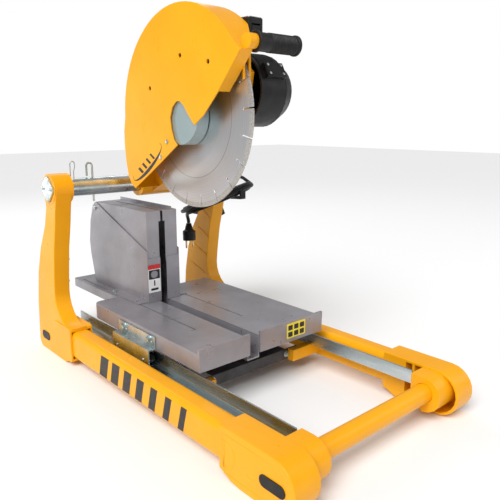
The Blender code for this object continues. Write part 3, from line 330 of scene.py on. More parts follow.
gland_low, gland_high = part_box("cord_gland")
gland_profile = [(0, 0), (0, 0.0062), (0.0030, 0.0062)]
for rib in range(8):
    along = 0.0060 + rib * 0.0040
    radius = 0.0064 - rib * 0.00022
    gland_profile += [(along, radius - 0.0008), (along + 0.0004, radius), (along + 0.0022, radius),
                      (along + 0.0026, radius - 0.0008)]
gland_reach = gland_high.x - gland_low.x
gland_profile += [(gland_reach - 0.001, 0.0047), (gland_reach, 0.0044), (gland_reach, 0)]
gland_start = (gland_low.x, (gland_low.y + gland_high.y) / 2, (gland_low.z + gland_high.z) / 2)
gland = dress(turned("ribbed_gland", gland_profile, gland_start, (1, 0, 0)), moulded_black, "root",
              "black_plastic", "cord_gland")

plug_profile = [(0.0002, 0), (0.0002, 0.0062)]
for rib in range(4):
    along = 0.0012 + rib * 0.0032
    plug_profile += [(along, 0.0066 + rib * 0.0010), (along + 0.0016, 0.0072 + rib * 0.0010),
                     (along + 0.0020, 0.0062 + rib * 0.0010)]
plug_profile += [(0.0165, 0.0110), (0.0185, 0.0145), (0.0205, 0.0160), (0.0300, 0.0162), (0.0304, 0.0155),
                 (0.0316, 0.0155), (0.0320, 0.0162), (0.0425, 0.0160), (0.0440, 0.0148), (0.0440, 0)]
plug_shell = dress(turned("plug_shell", plug_profile, PLUG_TOP, PLUG_LEAN), moulded_black, "root",
                   "black_plastic", "plug")
for label, shift in (("left", -0.0095), ("right", 0.0095)):
    root_point = PLUG_TOP + PLUG_LEAN * 0.0442 + Vector((shift, 0, 0))
    pin = turned("plug_pin_" + label, [(0, 0), (0, 0.0024), (0.0172, 0.0024), (0.0184, 0.0018), (0.0187, 0)],
                 root_point, PLUG_LEAN, 20)
    dress(pin, pin_brass, "root", "copper_winding")


# Side beams: two rounded steel box sections in yellow enamel. Each has a small lug for the cross bar, and the
# left one has plain slanted black bars printed on its outer face.
def refined(node, edge=0.0008, steps=2, angle=32, whole=True):
    """A finished copy of a CAD node: whole flat faces, rounded edges and smooth round stretches."""
    form = bmesh.new()
    form.from_mesh(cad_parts[node].data)
    bmesh.ops.remove_doubles(form, verts=form.verts, dist=0.000004)
    if whole:
        bmesh.ops.dissolve_limit(form, angle_limit=radians(0.4), verts=form.verts, edges=form.edges)
    form.verts.index_update()
    mesh = bpy.data.meshes.new("fine_" + node)
    mesh.from_pydata([v.co for v in form.verts], [], [[v.index for v in face.verts] for face in form.faces])
    form.free()
    mesh.shade_smooth()
    mesh.set_sharp_from_angle(angle=radians(angle))
    thing = new_object("fine_" + node, mesh)
    if edge:
        rounding = thing.modifiers.new("round_edges", "BEVEL")
        rounding.width = edge
        rounding.segments = steps
        rounding.limit_method = "ANGLE"
        rounding.angle_limit = radians(angle)
        even = thing.modifiers.new("even_shading", "WEIGHTED_NORMAL")
        even.keep_sharp = True
    return thing


def flat_mesh(outline, low, high, axis="X", holes=()):
    """A flat plate: its outline is given in the two other axes, and it is thick along the named one."""
    sheet = bpy.data.curves.new("outline", "CURVE")
    sheet.dimensions = "2D"
    sheet.fill_mode = "BOTH"
    sheet.extrude = (high - low) / 2
    for loop in (outline, *holes):
        line = sheet.splines.new("POLY")
        line.points.add(len(loop) - 1)
        for point, place in zip(line.points, loop):
            point.co = (place[0], place[1], 0, 1)
        line.use_cyclic_u = True
    guide = new_object("outline", sheet)
    bpy.context.view_layer.update()
    mesh = bpy.data.meshes.new_from_object(guide.evaluated_get(bpy.context.evaluated_depsgraph_get()))
    bpy.data.objects.remove(guide)
    columns = {"X": ((0, 1, 0), (0, 0, 1), (1, 0, 0)), "Y": ((0, 0, 1), (1, 0, 0), (0, 1, 0)),
               "Z": ((1, 0, 0), (0, 1, 0), (0, 0, 1))}[axis]
    turn = Matrix(columns).transposed().to_4x4()
    turn.translation = Vector(columns[2]) * (low + high) / 2
    form = bmesh.new()
    form.from_mesh(mesh)
    bmesh.ops.remove_doubles(form, verts=form.verts, dist=0.00001)
    bmesh.ops.transform(form, matrix=turn, verts=form.verts)
    bmesh.ops.recalc_face_normals(form, faces=form.faces)
    form.to_mesh(mesh)
    form.free()
    return mesh


def arc(centre, radius, start, end, steps):
    """Points on a circle in a plane, with the angles in degrees."""
    turns = [radians(start + (end - start) * i / steps) for i in range(steps + 1)]
    return [(centre[0] + radius * cos(t), centre[1] + radius * sin(t)) for t in turns]


def round_rectangle(low, high, radius, steps=5):
    """The outline of a rectangle with round corners, from its low and high corner."""
    corners = (((high[0] - radius, high[1] - radius), 0), ((low[0] + radius, high[1] - radius), 90),
               ((low[0] + radius, low[1] + radius), 180), ((high[0] - radius, low[1] + radius), 270))
    return [p for centre, start in corners for p in arc(centre, radius, start, start + 90, steps)]


sun_yellow = new_material("sun_yellow_enamel", (0.98, 0.50, 0.010), 0.30)
shader_of(sun_yellow).inputs["Specular IOR Level"].default_value = 0.30
mottled(sun_yellow, (0.88, 0.375, 0.004), (0.95, 0.425, 0.005), 9, 7.0, 0.30, 0.70)
fine_bump(sun_yellow, 420, 0.00014, 0.6)
uneven_gloss(sun_yellow, 0.26, 0.40, 22)

print_black = new_material("print_black", (0.012, 0.012, 0.013), 0.45)
mottled(print_black, (0.010, 0.010, 0.011), (0.020, 0.020, 0.022), 120)
uneven_gloss(print_black, 0.38, 0.52, 150)

for side in ("left", "right"):
    dress(refined("side_beam_" + side), sun_yellow, "root", "yellow_enamel", "side_beam_" + side)

beam_low, beam_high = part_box("side_beam_left")
PRINT_THICKNESS, PRINT_ROOT = 0.00016, 0.0002


def merged(name, meshes):
    """One mesh object from several meshes."""
    form = bmesh.new()
    for mesh in meshes:
        form.from_mesh(mesh)
    return new_object(name, mesh_from(form, name))


bars = []
bar_low, bar_high = beam_low.z + 0.0085, beam_high.z - 0.0085
for bar in range(7):
    start = 0.085 - 0.045 * bar
    width = 0.030 - 0.0024 * bar
    slant = 0.012
    outline = [(start, bar_low), (start - width, bar_low), (start - width - slant, bar_high),
               (start - slant, bar_high)]
    bars.append(flat_mesh(outline, beam_low.x - PRINT_THICKNESS, beam_low.x + PRINT_ROOT))
dress(merged("beam_bars", bars), print_black, "root", "black_plastic")


# Front castings: cast yellow noses that close the beams and hold the cross tube and the rails. A racetrack
# groove and a D-shaped ridge stand on the outer face, and an oblong black plug closes the end.
def raised_ring(name, outline, width, low, high):
    """A narrow flat band that follows an outline, on a face across X."""
    centre = Vector((sum(p[0] for p in outline) / len(outline), sum(p[1] for p in outline) / len(outline)))
    inner = []
    count = len(outline)
    for i, point in enumerate(outline):
        before, after = Vector(outline[i - 1]), Vector(outline[(i + 1) % count])
        way = (after - before).normalized()
        inward = Vector((-way.y, way.x))
        if inward.dot(centre - Vector(point)) < 0:
            inward.negate()
        inner.append(tuple(Vector(point) + inward * width))
    return new_object(name, flat_mesh(outline, low, high, "X", (inner,)))


for side, sign in (("left", -1), ("right", 1)):
    node = "front_casting_" + side
    dress(refined(node, 0.0012, 3), sun_yellow, "root", "yellow_enamel", node)
    low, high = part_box(node)
    face = low.x if sign < 0 else high.x
    span = sorted((face - sign * 0.0010, face - sign * 0.0004 + sign * 0.0008))
    middle = (low.z + high.z) / 2
    nose = low.y + middle + 0.004
    track = arc((nose + 0.004, middle), 0.0315, 90, 270, 24) + [(high.y - 0.012, middle - 0.0315),
                                                                (high.y - 0.006, middle + 0.0315)]
    ring = raised_ring("nose_groove_" + side, track, 0.0016, *span)
    dress(ring, sun_yellow, "root", "yellow_enamel")
    back = high.y - 0.010
    ridge_line = [(back, middle + 0.022)] + arc((back - 0.004, middle), 0.022, 90, 270, 20)
    ridge_line.append((back, middle - 0.022))
    ridge = raised_ring("nose_ridge_" + side, ridge_line, 0.0030, *span)
    dress(ridge, sun_yellow, "root", "yellow_enamel")
    for end in ("front", "rear"):
        dress(refined("end_plug_%s_%s" % (side, end), 0.0005), moulded_black, "root", "black_plastic",
              "end_plug_%s_%s" % (side, end))
dress(refined("front_cross_tube", 0.0006), sun_yellow, "root", "yellow_enamel", "front_cross_tube")


# Rails: zinc plated steel angles that the table's rollers run on, each held by bolts through its web, with a
# stop screw at the front end.
zinc = new_material("zinc_plating", (0.60, 0.66, 0.67), 0.30, 1.0)
mottled(zinc, (0.42, 0.52, 0.54), (0.74, 0.78, 0.77), 26, 8.0, 0.32, 0.68)
fine_bump(zinc, 700, 0.00006, 0.6)
uneven_gloss(zinc, 0.20, 0.42, 40)

rolled_zinc = new_material("rolled_zinc", (0.55, 0.62, 0.64), 0.28, 1.0)
mottled(rolled_zinc, (0.36, 0.47, 0.50), (0.72, 0.76, 0.76), 30, 8.0, 0.30, 0.70, (1, 0.12, 1))
fine_bump(rolled_zinc, 900, 0.00005, 0.6, (1, 0.05, 1))
uneven_gloss(rolled_zinc, 0.16, 0.36, 60, (1, 0.10, 1))


def tree_with(name, *sockets):
    """A new geometry nodes tree, with its named inputs and its first and last node."""
    tree = bpy.data.node_groups.new(name, "GeometryNodeTree")
    face = tree.interface
    face.new_socket("Geometry", in_out="INPUT", socket_type="NodeSocketGeometry")
    for socket, kind in (*sockets, ("Finish", "Material")):
        face.new_socket(socket, in_out="INPUT", socket_type="NodeSocket" + kind)
    face.new_socket("Geometry", in_out="OUTPUT", socket_type="NodeSocketGeometry")
    return tree, tree.nodes.new("NodeGroupInput"), tree.nodes.new("NodeGroupOutput")


def fastener_tree():
    """Geometry nodes: on each point a head with a chamfered top on a washer, along the point's facing."""
    tree, given, result = tree_with("fasteners", ("Sides", "Int"), ("Radius", "Float"), ("Height", "Float"),
                                    ("Washer Radius", "Float"), ("Washer Height", "Float"))
    make, link = tree.nodes.new, tree.links.new

    def sized(kind, value, factor):
        node = make("ShaderNodeMath")
        node.operation = kind
        link(value, node.inputs[0])
        node.inputs[1].default_value = factor
        return node.outputs[0]

    def lifted(shape, *heights):
        total = heights[0]
        for height in heights[1:]:
            both = make("ShaderNodeMath")
            link(total, both.inputs[0])
            link(height, both.inputs[1])
            total = both.outputs[0]
        lift, move = make("ShaderNodeCombineXYZ"), make("GeometryNodeTransform")
        link(total, lift.inputs["Z"])
        link(shape, move.inputs["Geometry"])
        link(lift.outputs[0], move.inputs["Translation"])
        return move.outputs[0]

    radius, height, washer = given.outputs["Radius"], given.outputs["Height"], given.outputs["Washer Height"]
    plate, head = make("GeometryNodeMeshCylinder"), make("GeometryNodeMeshCylinder")
    top = make("GeometryNodeMeshCone")
    plate.inputs["Vertices"].default_value = 28
    link(given.outputs["Washer Radius"], plate.inputs["Radius"])
    link(washer, plate.inputs["Depth"])
    link(given.outputs["Sides"], head.inputs["Vertices"])
    link(radius, head.inputs["Radius"])
    link(height, head.inputs["Depth"])
    top.inputs["Vertices"].default_value = 28
    link(sized("MULTIPLY", radius, 0.70), top.inputs["Radius Top"])
    link(sized("MULTIPLY", radius, 0.865), top.inputs["Radius Bottom"])
    link(sized("MULTIPLY", height, 0.16), top.inputs["Depth"])
    joined = make("GeometryNodeJoinGeometry")
    for part in (lifted(plate.outputs["Mesh"], sized("MULTIPLY", washer, 0.5)),
                 lifted(head.outputs["Mesh"], washer, sized("MULTIPLY", height, 0.5)),
                 lifted(top.outputs["Mesh"], washer, height)):
        link(part, joined.inputs[0])
    facing, aim = make("GeometryNodeInputNamedAttribute"), make("FunctionNodeAlignRotationToVector")
    spread = make("GeometryNodeInstanceOnPoints")
    facing.data_type = "FLOAT_VECTOR"
    facing.inputs["Name"].default_value = "facing"
    aim.axis = "Z"
    link(facing.outputs["Attribute"], aim.inputs["Vector"])
    link(given.outputs["Geometry"], spread.inputs["Points"])
    link(joined.outputs[0], spread.inputs["Instance"])
    link(aim.outputs["Rotation"], spread.inputs["Rotation"])
    real, paint = make("GeometryNodeRealizeInstances"), make("GeometryNodeSetMaterial")
    link(spread.outputs[0], real.inputs[0])
    link(real.outputs[0], paint.inputs["Geometry"])
    link(given.outputs["Finish"], paint.inputs["Material"])
    link(paint.outputs[0], result.inputs[0])
    return tree


FASTENERS = fastener_tree()


def grown(name, tree, seed, values, body, finish, slot, angle=35):
    """The plain mesh that a geometry nodes tree makes on a seed mesh, riding on its body."""
    source = new_object(name + "_seed", seed)
    change = source.modifiers.new("grow", "NODES")
    change.node_group = tree
    for item in tree.interface.items_tree:
        if item.in_out == "INPUT" and item.name in values:
            change[item.identifier] = values[item.name]
        elif item.in_out == "INPUT" and item.name == "Finish":
            change[item.identifier] = finish
    source.update_tag()
    bpy.context.view_layer.update()
    mesh = bpy.data.meshes.new_from_object(source.evaluated_get(bpy.context.evaluated_depsgraph_get()))
    bpy.data.objects.remove(source)
    mesh.shade_smooth()
    mesh.set_sharp_from_angle(angle=radians(angle))
    piece = new_object(name, mesh)
    return dress(piece, finish, body, slot)


def marked(name, places):
    """Loose points, each with the direction that its fastener faces."""
    seed = bpy.data.meshes.new(name)
    seed.from_pydata([p for p, way in places], [], [])
    facing = seed.attributes.new("facing", "FLOAT_VECTOR", "POINT")
    for item, (place, way) in zip(facing.data, places):
        item.vector = way
    return seed


def fasteners(name, places, radius, height, washer=0.0, sides=6, body="root", finish=None, slot="zinc_plate"):
    """Bolt or screw heads at (place, direction) pairs."""
    values = {"Sides": sides, "Radius": radius, "Height": height, "Washer Radius": washer or radius * 0.9,
              "Washer Height": 0.0009 if washer else 0.0003}
    return grown(name, FASTENERS, marked(name, places), values, body, finish or zinc, slot)


for side, sign in (("left", -1), ("right", 1)):
    node = "rail_" + side
    dress(refined(node, 0.0005), rolled_zinc, "root", "zinc_plate", node)
    low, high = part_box(node)
    web, flange = low.z + 0.003, (high.x - 0.003 if sign < 0 else low.x + 0.003)
    across = (low.x + high.x) / 2 + sign * 0.003
    stops = [((across, y, web), (0, 0, 1)) for y in (low.y + 0.012, high.y - 0.014)]
    fasteners("rail_bolts_" + side, stops, 0.0050, 0.0036, 0.0068)


# Rear posts: cast yellow uprights with a foot, a socket for the beam and a round head for the pivot tube.
# Four low slanting ribs cross the web of each post on its inner face.
POST_INNER, FRAME_SHIFT = 0.1885, 0.0041
RIB_WIDTH, RIB_PROUD, RIB_ROOT = 0.0035, 0.0016, 0.0006
for side, sign in (("left", -1), ("right", 1)):
    node = "upright_" + side
    dress(refined(node, 0.0012, 3), sun_yellow, "root", "yellow_enamel", node)
    inner_face = (POST_INNER - FRAME_SHIFT * sign) * sign
    ribs = []
    for rise in (0.118, 0.168, 0.218, 0.268):
        lean_in = (rise - 0.118) * 0.28
        start, end = 0.283 - lean_in * 0.55, 0.346 - lean_in * 1.35
        rib = [(start, rise), (end, rise + 0.020), (end, rise + 0.020 + RIB_WIDTH), (start, rise + RIB_WIDTH)]
        ribs.append(flat_mesh(rib, *sorted((inner_face - sign * RIB_PROUD, inner_face + sign * RIB_ROOT))))
    dress(merged("post_ribs_" + side, ribs), sun_yellow, "root", "yellow_enamel")


# Cross bar: a black painted steel angle that stands between the beams' lugs under the table. Two bolts at
# each end hold it.
black_paint = new_material("black_paint", (0.03, 0.03, 0.032), 0.40, 0.2)
mottled(black_paint, (0.022, 0.022, 0.024), (0.050, 0.050, 0.054), 40)
fine_bump(black_paint, 600, 0.00012, 0.7)
uneven_gloss(black_paint, 0.30, 0.50, 50)
dress(refined("under_cross_bar", 0.0006), black_paint, "root", "dark_steel", "under_cross_bar")
bar_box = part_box("under_cross_bar")
bar_bolts = [((x, bar_box[0].y, (bar_box[0].z + bar_box[1].z) / 2), (0, -1, 0))
             for x in (bar_box[0].x + 0.010, bar_box[0].x + 0.030, bar_box[1].x - 0.030, bar_box[1].x - 0.010)]
fasteners("cross_bar_bolts", bar_bolts, 0.0052, 0.0038, 0.0072)


# Pivot tube: a zinc plated tube across the two post heads, with octagonal end flanges, each held by two
# screws, an R-clip on its left and a lock pin that pulls out upwards.
dress(refined("pivot_tube", 0.0005), zinc, "root", "zinc_plate", "pivot_tube")
for side, sign in (("left", -1), ("right", 1)):
    node = "pivot_flange_" + side
    dress(refined(node, 0.0005), zinc, "root", "zinc_plate", node)
    low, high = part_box(node)
    face = low.x if sign < 0 else high.x
    centre_y, centre_z = (low.y + high.y) / 2, (low.z + high.z) / 2
    screws = [((face, centre_y + d, centre_z), (sign, 0, 0)) for d in (-0.0185, 0.0185)]
    fasteners("flange_screws_" + side, screws, 0.0032, 0.0018, sides=24)
dress(refined("tube_clip", 0), zinc, "root", "zinc_plate", "tube_clip")
dress(refined("lock_pin", 0), zinc, "lock_pin", "zinc_plate", "lock_pin")


# Cord hooks and wedge: black moulded pieces on the right post. The coil hangs on the two hooks, and the wedge
# keeps it off the post.
for node in ("cord_hook_front", "cord_hook_rear", "cord_wedge"):
    dress(refined(node, 0.0008), moulded_black, "root", "black_plastic", node)


# Table: a folded steel tray in metallic grey enamel. Its front edge is turned up into a lip, its sides are
# turned down, and the blade's groove and the two clamp slots run along it.
hammer_grey = new_material("metallic_grey_enamel", (0.30, 0.295, 0.32), 0.34, 0.45)
shader_of(hammer_grey).inputs["Coat Weight"].default_value = 0.25
shader_of(hammer_grey).inputs["Coat Roughness"].default_value = 0.18
mottled(hammer_grey, (0.27, 0.262, 0.285), (0.36, 0.350, 0.380), 14, 8.0, 0.30, 0.70)
fine_bump(hammer_grey, 650, 0.00010, 0.7)
uneven_gloss(hammer_grey, 0.26, 0.42, 26)
dress(refined("table_tray", 0.0006), hammer_grey, "table", "grey_enamel", "table_tray")
dress(refined("blade_trough", 0.0004), hammer_grey, "table", "grey_enamel", "blade_trough")


# Roller brackets: zinc plated steel folds, bolted to the table's skirts. Black nylon rollers turn on the two
# steel axles of each and run on the rails.
for side, sign in (("left", -1), ("right", 1)):
    node = "roller_bracket_" + side
    dress(refined(node, 0.0005), zinc, "table", "zinc_plate", node)
    low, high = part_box(node)
    tab_face = (high.x - 0.0025) if sign < 0 else (low.x + 0.0025)
    bolts = [((tab_face, y, high.z - 0.009), (sign, 0, 0)) for y in (low.y + 0.020, high.y - 0.022)]
    fasteners("bracket_bolts_" + side, bolts, 0.0066, 0.0050, 0.0086, body="table")
    for end in ("front", "rear"):
        axle, wheel = "roller_axle_%s_%s" % (side, end), "roller_%s_%s" % (side, end)
        dress(refined(axle, 0.0003), zinc, "table", "zinc_plate", axle)
        dress(refined(wheel, 0.0005), moulded_black, wheel, "black_plastic", wheel)


# Backstop hood: a folded box in the same grey enamel, with a slot for the blade, a foot on each side under
# a clamp bolt, and a lid that swings on a pin through its upper back corner.
dress(refined("hood_box", 0.0004), hammer_grey, "hood", "grey_enamel", "hood_box")
dress(refined("hood_flap", 0.0004), hammer_grey, "hood_flap", "grey_enamel", "hood_flap")
dress(refined("flap_pin", 0.0004), zinc, "hood", "zinc_plate", "flap_pin")
for side in ("left", "right"):
    dress(refined("hood_bolt_" + side, 0.0003), zinc, "hood", "zinc_plate", "hood_bolt_" + side)


# Labels: printed plates with plain blocks and no lettering. One stands on the hood's front left of the slot,
# the other on the table's front lip.
def label_ink(name, dark, light):
    """A flat printing ink that varies a little between two tones."""
    ink = new_material(name, light, 0.40)
    mottled(ink, dark, light, 60)
    uneven_gloss(ink, 0.34, 0.46, 90)
    return ink


label_white = label_ink("label_white", (0.78, 0.78, 0.78), (0.86, 0.86, 0.86))
label_red = label_ink("label_red", (0.48, 0.016, 0.016), (0.60, 0.024, 0.024))
label_yellow = label_ink("label_yellow", (0.84, 0.66, 0.04), (0.92, 0.76, 0.06))


def label_block(name, x_span, z_span, face_y, layer, finish, body, corner=0.0012):
    """One printed block of a label on a face across Y; each layer stands a hair further out."""
    outline = round_rectangle((z_span[0], x_span[0]), (z_span[1], x_span[1]), corner)
    block = new_object(name, flat_mesh(outline, face_y - PRINT_THICKNESS * layer, face_y + PRINT_ROOT, "Y"))
    return dress(block, finish, body, "black_plastic")


hood_face, lip_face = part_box("hood_box")[0].y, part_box("table_tray")[0].y
hood_middle = (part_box("blade")[0].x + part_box("blade")[1].x) / 2
plate_x = (hood_middle - 0.0400, hood_middle - 0.0095)
for name, inset, z_span, layer, ink, corner in (("plate", 0, (0.1465, 0.2085), 1, label_white, 0.0012),
                                                ("band", 0, (0.1985, 0.2085), 2, label_red, 0.0012),
                                                ("dark", 0.0015, (0.1765, 0.1970), 2, print_black, 0.0012),
                                                ("disc", 0.0070, (0.1790, 0.1945), 3, hammer_grey, 0.0070),
                                                ("post", 0.0137, (0.1610, 0.1735), 2, print_black, 0.0012),
                                                ("base", 0.0060, (0.1510, 0.1560), 2, print_black, 0.0012)):
    label_block("hood_label_" + name, (plate_x[0] + inset, plate_x[1] - inset), z_span, hood_face, layer, ink,
                "hood", corner)
label_block("lip_label_plate", (0.0500, 0.1010), (0.0985, 0.1285), lip_face, 1, label_yellow, "table")
for column in range(3):
    for row in range(2):
        x, z = 0.0535 + column * 0.0160, 0.1010 + row * 0.0135
        label_block("lip_label_mark_%d_%d" % (column, row), (x, x + 0.0120), (z, z + 0.0100), lip_face, 2,
                    print_black, "table")


# Head arm: the cast yellow piece that swings on the pivot tube. It has the pivot's sleeve at one end and the
# gearbox at the other, closed by a black plate.
dress(refined("head_arm", 0.0012, 3), sun_yellow, "head", "yellow_enamel", "head_arm")
dress(refined("gearbox_cover", 0.0006), moulded_black, "head", "black_plastic", "gearbox_cover")


# Spindle: a ground steel shaft with the blade's inner flange. It turns in a bearing pressed into the gearbox
# and carries the driven gear.
ground_steel = new_material("ground_steel", (0.62, 0.62, 0.63), 0.25, 1.0)
mottled(ground_steel, (0.55, 0.55, 0.56), (0.70, 0.70, 0.71), 50)
fine_bump(ground_steel, 800, 0.00004, 0.6)
uneven_gloss(ground_steel, 0.18, 0.32, 80)
dress(refined("arbor_shaft", 0.0004), ground_steel, "blade", "bare_steel", "arbor_shaft")
dress(refined("arbor_bearing", 0.0003), ground_steel, "head", "bare_steel", "arbor_bearing")
dress(refined("driven_gear", 0.0002), ground_steel, "blade", "bare_steel", "driven_gear")


# Blade: a ground steel disc with a keyhole slot between each pair of diamond segments, which are brazed on
# its rim. Grinding leaves fine rings round the centre, and a thin turned line marks the plate.
SEGMENTS, FIRST_SLOT = 21, 4.43
SLOT_HALF, SLOT_HOLE, SLOT_NECK = 0.0012, 0.0021, 0.0018
blade_low, blade_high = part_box("blade")
blade_centre = (blade_low + blade_high) / 2
blade_radius = (blade_high.z - blade_low.z) / 2
core_radius, hole_radius = blade_radius - 0.0090, blade_radius - 0.0238


def blade_spot(angle, along, aside=0.0):
    """A point (y, z) on the blade: a radius along an angle in degrees, and a step aside from it."""
    turn = radians(angle)
    return (blade_centre.y + along * cos(turn) - aside * sin(turn),
            blade_centre.z + along * sin(turn) + aside * cos(turn))


core_outline = []
for slot in range(SEGMENTS):
    angle = FIRST_SLOT + 360 / SEGMENTS * slot
    core_outline.append(blade_spot(angle, core_radius, -SLOT_HALF))
    core_outline.append(blade_spot(angle, hole_radius + SLOT_NECK, -SLOT_HALF))
    for bend in range(1, 8):
        swept = radians(-35 - 290 * bend / 8)
        core_outline.append(blade_spot(angle, hole_radius + SLOT_HOLE * cos(swept), SLOT_HOLE * sin(swept)))
    core_outline.append(blade_spot(angle, hole_radius + SLOT_NECK, SLOT_HALF))
    core_outline.append(blade_spot(angle, core_radius, SLOT_HALF))
    for bend in range(1, 6):
        core_outline.append(blade_spot(angle + 360 / SEGMENTS * bend / 6, core_radius))
bore = [blade_spot(7.5 * step, 0.0131) for step in range(48)]

blade_steel = new_material("ring_ground_steel", (0.66, 0.67, 0.69), 0.30, 1.0)
shader = shader_of(blade_steel)
shader.inputs["Anisotropic"].default_value = 0.75
place = add_node(blade_steel, "ShaderNodeTexCoord")
centred = add_node(blade_steel, "ShaderNodeVectorMath", operation="SUBTRACT")
centred.inputs[1].default_value = blade_centre
flat = add_node(blade_steel, "ShaderNodeVectorMath", operation="MULTIPLY")
flat.inputs[1].default_value = (0, 1, 1)
around = add_node(blade_steel, "ShaderNodeVectorMath", operation="CROSS_PRODUCT")
around.inputs[1].default_value = (1, 0, 0)
to_world = add_node(blade_steel, "ShaderNodeVectorTransform", vector_type="VECTOR", convert_from="OBJECT",
                    convert_to="WORLD")
reach = add_node(blade_steel, "ShaderNodeVectorMath", operation="LENGTH")
rings = add_node(blade_steel, "ShaderNodeTexNoise", Scale=900.0, Detail=4.0, noise_dimensions="1D")
ring_tone = ramp_between(blade_steel, 0.30, (0.55, 0.56, 0.58), 0.70, (0.74, 0.75, 0.77))
line = add_node(blade_steel, "ShaderNodeMath", operation="COMPARE")
line.inputs[1].default_value, line.inputs[2].default_value = 0.1175, 0.0004
lined = add_node(blade_steel, "ShaderNodeMix", data_type="RGBA")
lined.inputs["B"].default_value = (0.22, 0.23, 0.25, 1)
gloss = add_node(blade_steel, "ShaderNodeMapRange", **{"To Min": 0.24, "To Max": 0.38})
ring_bump = add_node(blade_steel, "ShaderNodeBump", Strength=0.5, Distance=0.00004)
wire_up(blade_steel, (place.outputs["Object"], centred.inputs[0]), (centred.outputs[0], flat.inputs[0]),
        (flat.outputs[0], around.inputs[0]), (around.outputs[0], to_world.inputs[0]),
        (to_world.outputs[0], shader.inputs["Tangent"]), (flat.outputs[0], reach.inputs[0]),
        (reach.outputs["Value"], rings.inputs["W"]), (rings.outputs["Fac"], ring_tone.inputs["Fac"]),
        (reach.outputs["Value"], line.inputs[0]), (line.outputs[0], lined.inputs["Factor"]),
        (ring_tone.outputs["Color"], lined.inputs["A"]),
        (lined.outputs["Result"], shader.inputs["Base Color"]),
        (rings.outputs["Fac"], gloss.inputs["Value"]), (gloss.outputs["Result"], shader.inputs["Roughness"]),
        (rings.outputs["Fac"], ring_bump.inputs["Height"]),
        (ring_bump.outputs["Normal"], shader.inputs["Normal"]))

core = new_object("blade_core", flat_mesh(core_outline, blade_centre.x - 0.0011, blade_centre.x + 0.0011, "X",
                                          (bore,)))
dress(core, blade_steel, "blade", "bare_steel", "blade")


def segment_tree():
    """Geometry nodes: curved blocks, evenly spaced round a centre, in a plane across X."""
    lengths = [(name, "Float") for name in ("Radius", "Depth", "Thickness", "Start", "Sweep", "Pitch")]
    tree, given, result = tree_with("rim_segments", ("Count", "Int"), *lengths, ("Place", "Vector"))
    make, link = tree.nodes.new, tree.links.new
    bow, section = make("GeometryNodeCurveArc"), make("GeometryNodeCurvePrimitiveQuadrilateral")
    body = make("GeometryNodeCurveToMesh")
    bow.inputs["Resolution"].default_value = 9
    link(given.outputs["Radius"], bow.inputs["Radius"])
    link(given.outputs["Start"], bow.inputs["Start Angle"])
    link(given.outputs["Sweep"], bow.inputs["Sweep Angle"])
    link(given.outputs["Depth"], section.inputs["Width"])
    link(given.outputs["Thickness"], section.inputs["Height"])
    link(bow.outputs["Curve"], body.inputs["Curve"])
    link(section.outputs["Curve"], body.inputs["Profile Curve"])
    body.inputs["Fill Caps"].default_value = True
    spots, index = make("GeometryNodePoints"), make("GeometryNodeInputIndex")
    angle, spin = make("ShaderNodeMath"), make("ShaderNodeCombineXYZ")
    link(given.outputs["Count"], spots.inputs["Count"])
    angle.operation = "MULTIPLY"
    link(index.outputs[0], angle.inputs[0])
    link(given.outputs["Pitch"], angle.inputs[1])
    link(angle.outputs[0], spin.inputs["Z"])
    spread, real = make("GeometryNodeInstanceOnPoints"), make("GeometryNodeRealizeInstances")
    link(spots.outputs[0], spread.inputs["Points"])
    link(body.outputs["Mesh"], spread.inputs["Instance"])
    link(spin.outputs[0], spread.inputs["Rotation"])
    link(spread.outputs[0], real.inputs[0])
    move, paint = make("GeometryNodeTransform"), make("GeometryNodeSetMaterial")
    link(real.outputs[0], move.inputs["Geometry"])
    move.inputs["Rotation"].default_value = (0, pi / 2, 0)
    link(given.outputs["Place"], move.inputs["Translation"])
    link(move.outputs[0], paint.inputs["Geometry"])
    link(given.outputs["Finish"], paint.inputs["Material"])
    link(paint.outputs[0], result.inputs[0])
    return tree


sintered = new_material("sintered_segment", (0.50, 0.49, 0.47), 0.45, 0.8)
mottled(sintered, (0.40, 0.385, 0.36), (0.66, 0.65, 0.62), 500, 4.0, 0.35, 0.65)
fine_bump(sintered, 1800, 0.00012)
uneven_gloss(sintered, 0.35, 0.60, 300)
slot_angle = radians(0.43)
pitch = 2 * pi / SEGMENTS
segment_depth = 0.0093
grown("rim_segments", segment_tree(), bpy.data.meshes.new("rim"),
      {"Count": SEGMENTS, "Radius": blade_radius - segment_depth / 2 - 0.0001, "Depth": segment_depth,
       "Thickness": 0.0029, "Start": radians(FIRST_SLOT + 90) + slot_angle, "Sweep": pitch - 2 * slot_angle,
       "Pitch": pitch, "Place": tuple(blade_centre)}, "blade", sintered, "bare_steel")


# Outer flange: a zinc plated steel dish on the spindle's end. It clamps the blade against the inner flange
# and turns with it.
smooth_zinc = new_material("smooth_zinc", (0.42, 0.52, 0.53), 0.42, 0.85)
mottled(smooth_zinc, (0.40, 0.50, 0.515), (0.47, 0.565, 0.575), 18, 5.0, 0.30, 0.70)
fine_bump(smooth_zinc, 800, 0.00004, 0.5)
uneven_gloss(smooth_zinc, 0.36, 0.48, 40)
dress(refined("outer_flange", 0.0012, 3), smooth_zinc, "blade", "zinc_plate", "outer_flange")


# Blade guard: a pressed and welded yellow sheet hood over the blade. Its closed nose carries the handle, two
# screws show on its left face, and a plain curved stripe with four bars is printed there.
dress(refined("blade_guard", 0.0005, 2), sun_yellow, "head", "yellow_enamel", "blade_guard")
guard_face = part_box("blade_guard")[0].x
stripe_middle, stripe_turn = Vector((0.1180, -0.0930)), radians(146)
stripe_long, stripe_short = 0.0680, 0.0190
STRIPE_STEPS, STRIPE_TAPER, STRIPE_WIDTH, BAR_FOOT, BAR_HEAD = 28, 0.0012, 0.0075, -0.0075, 0.0085


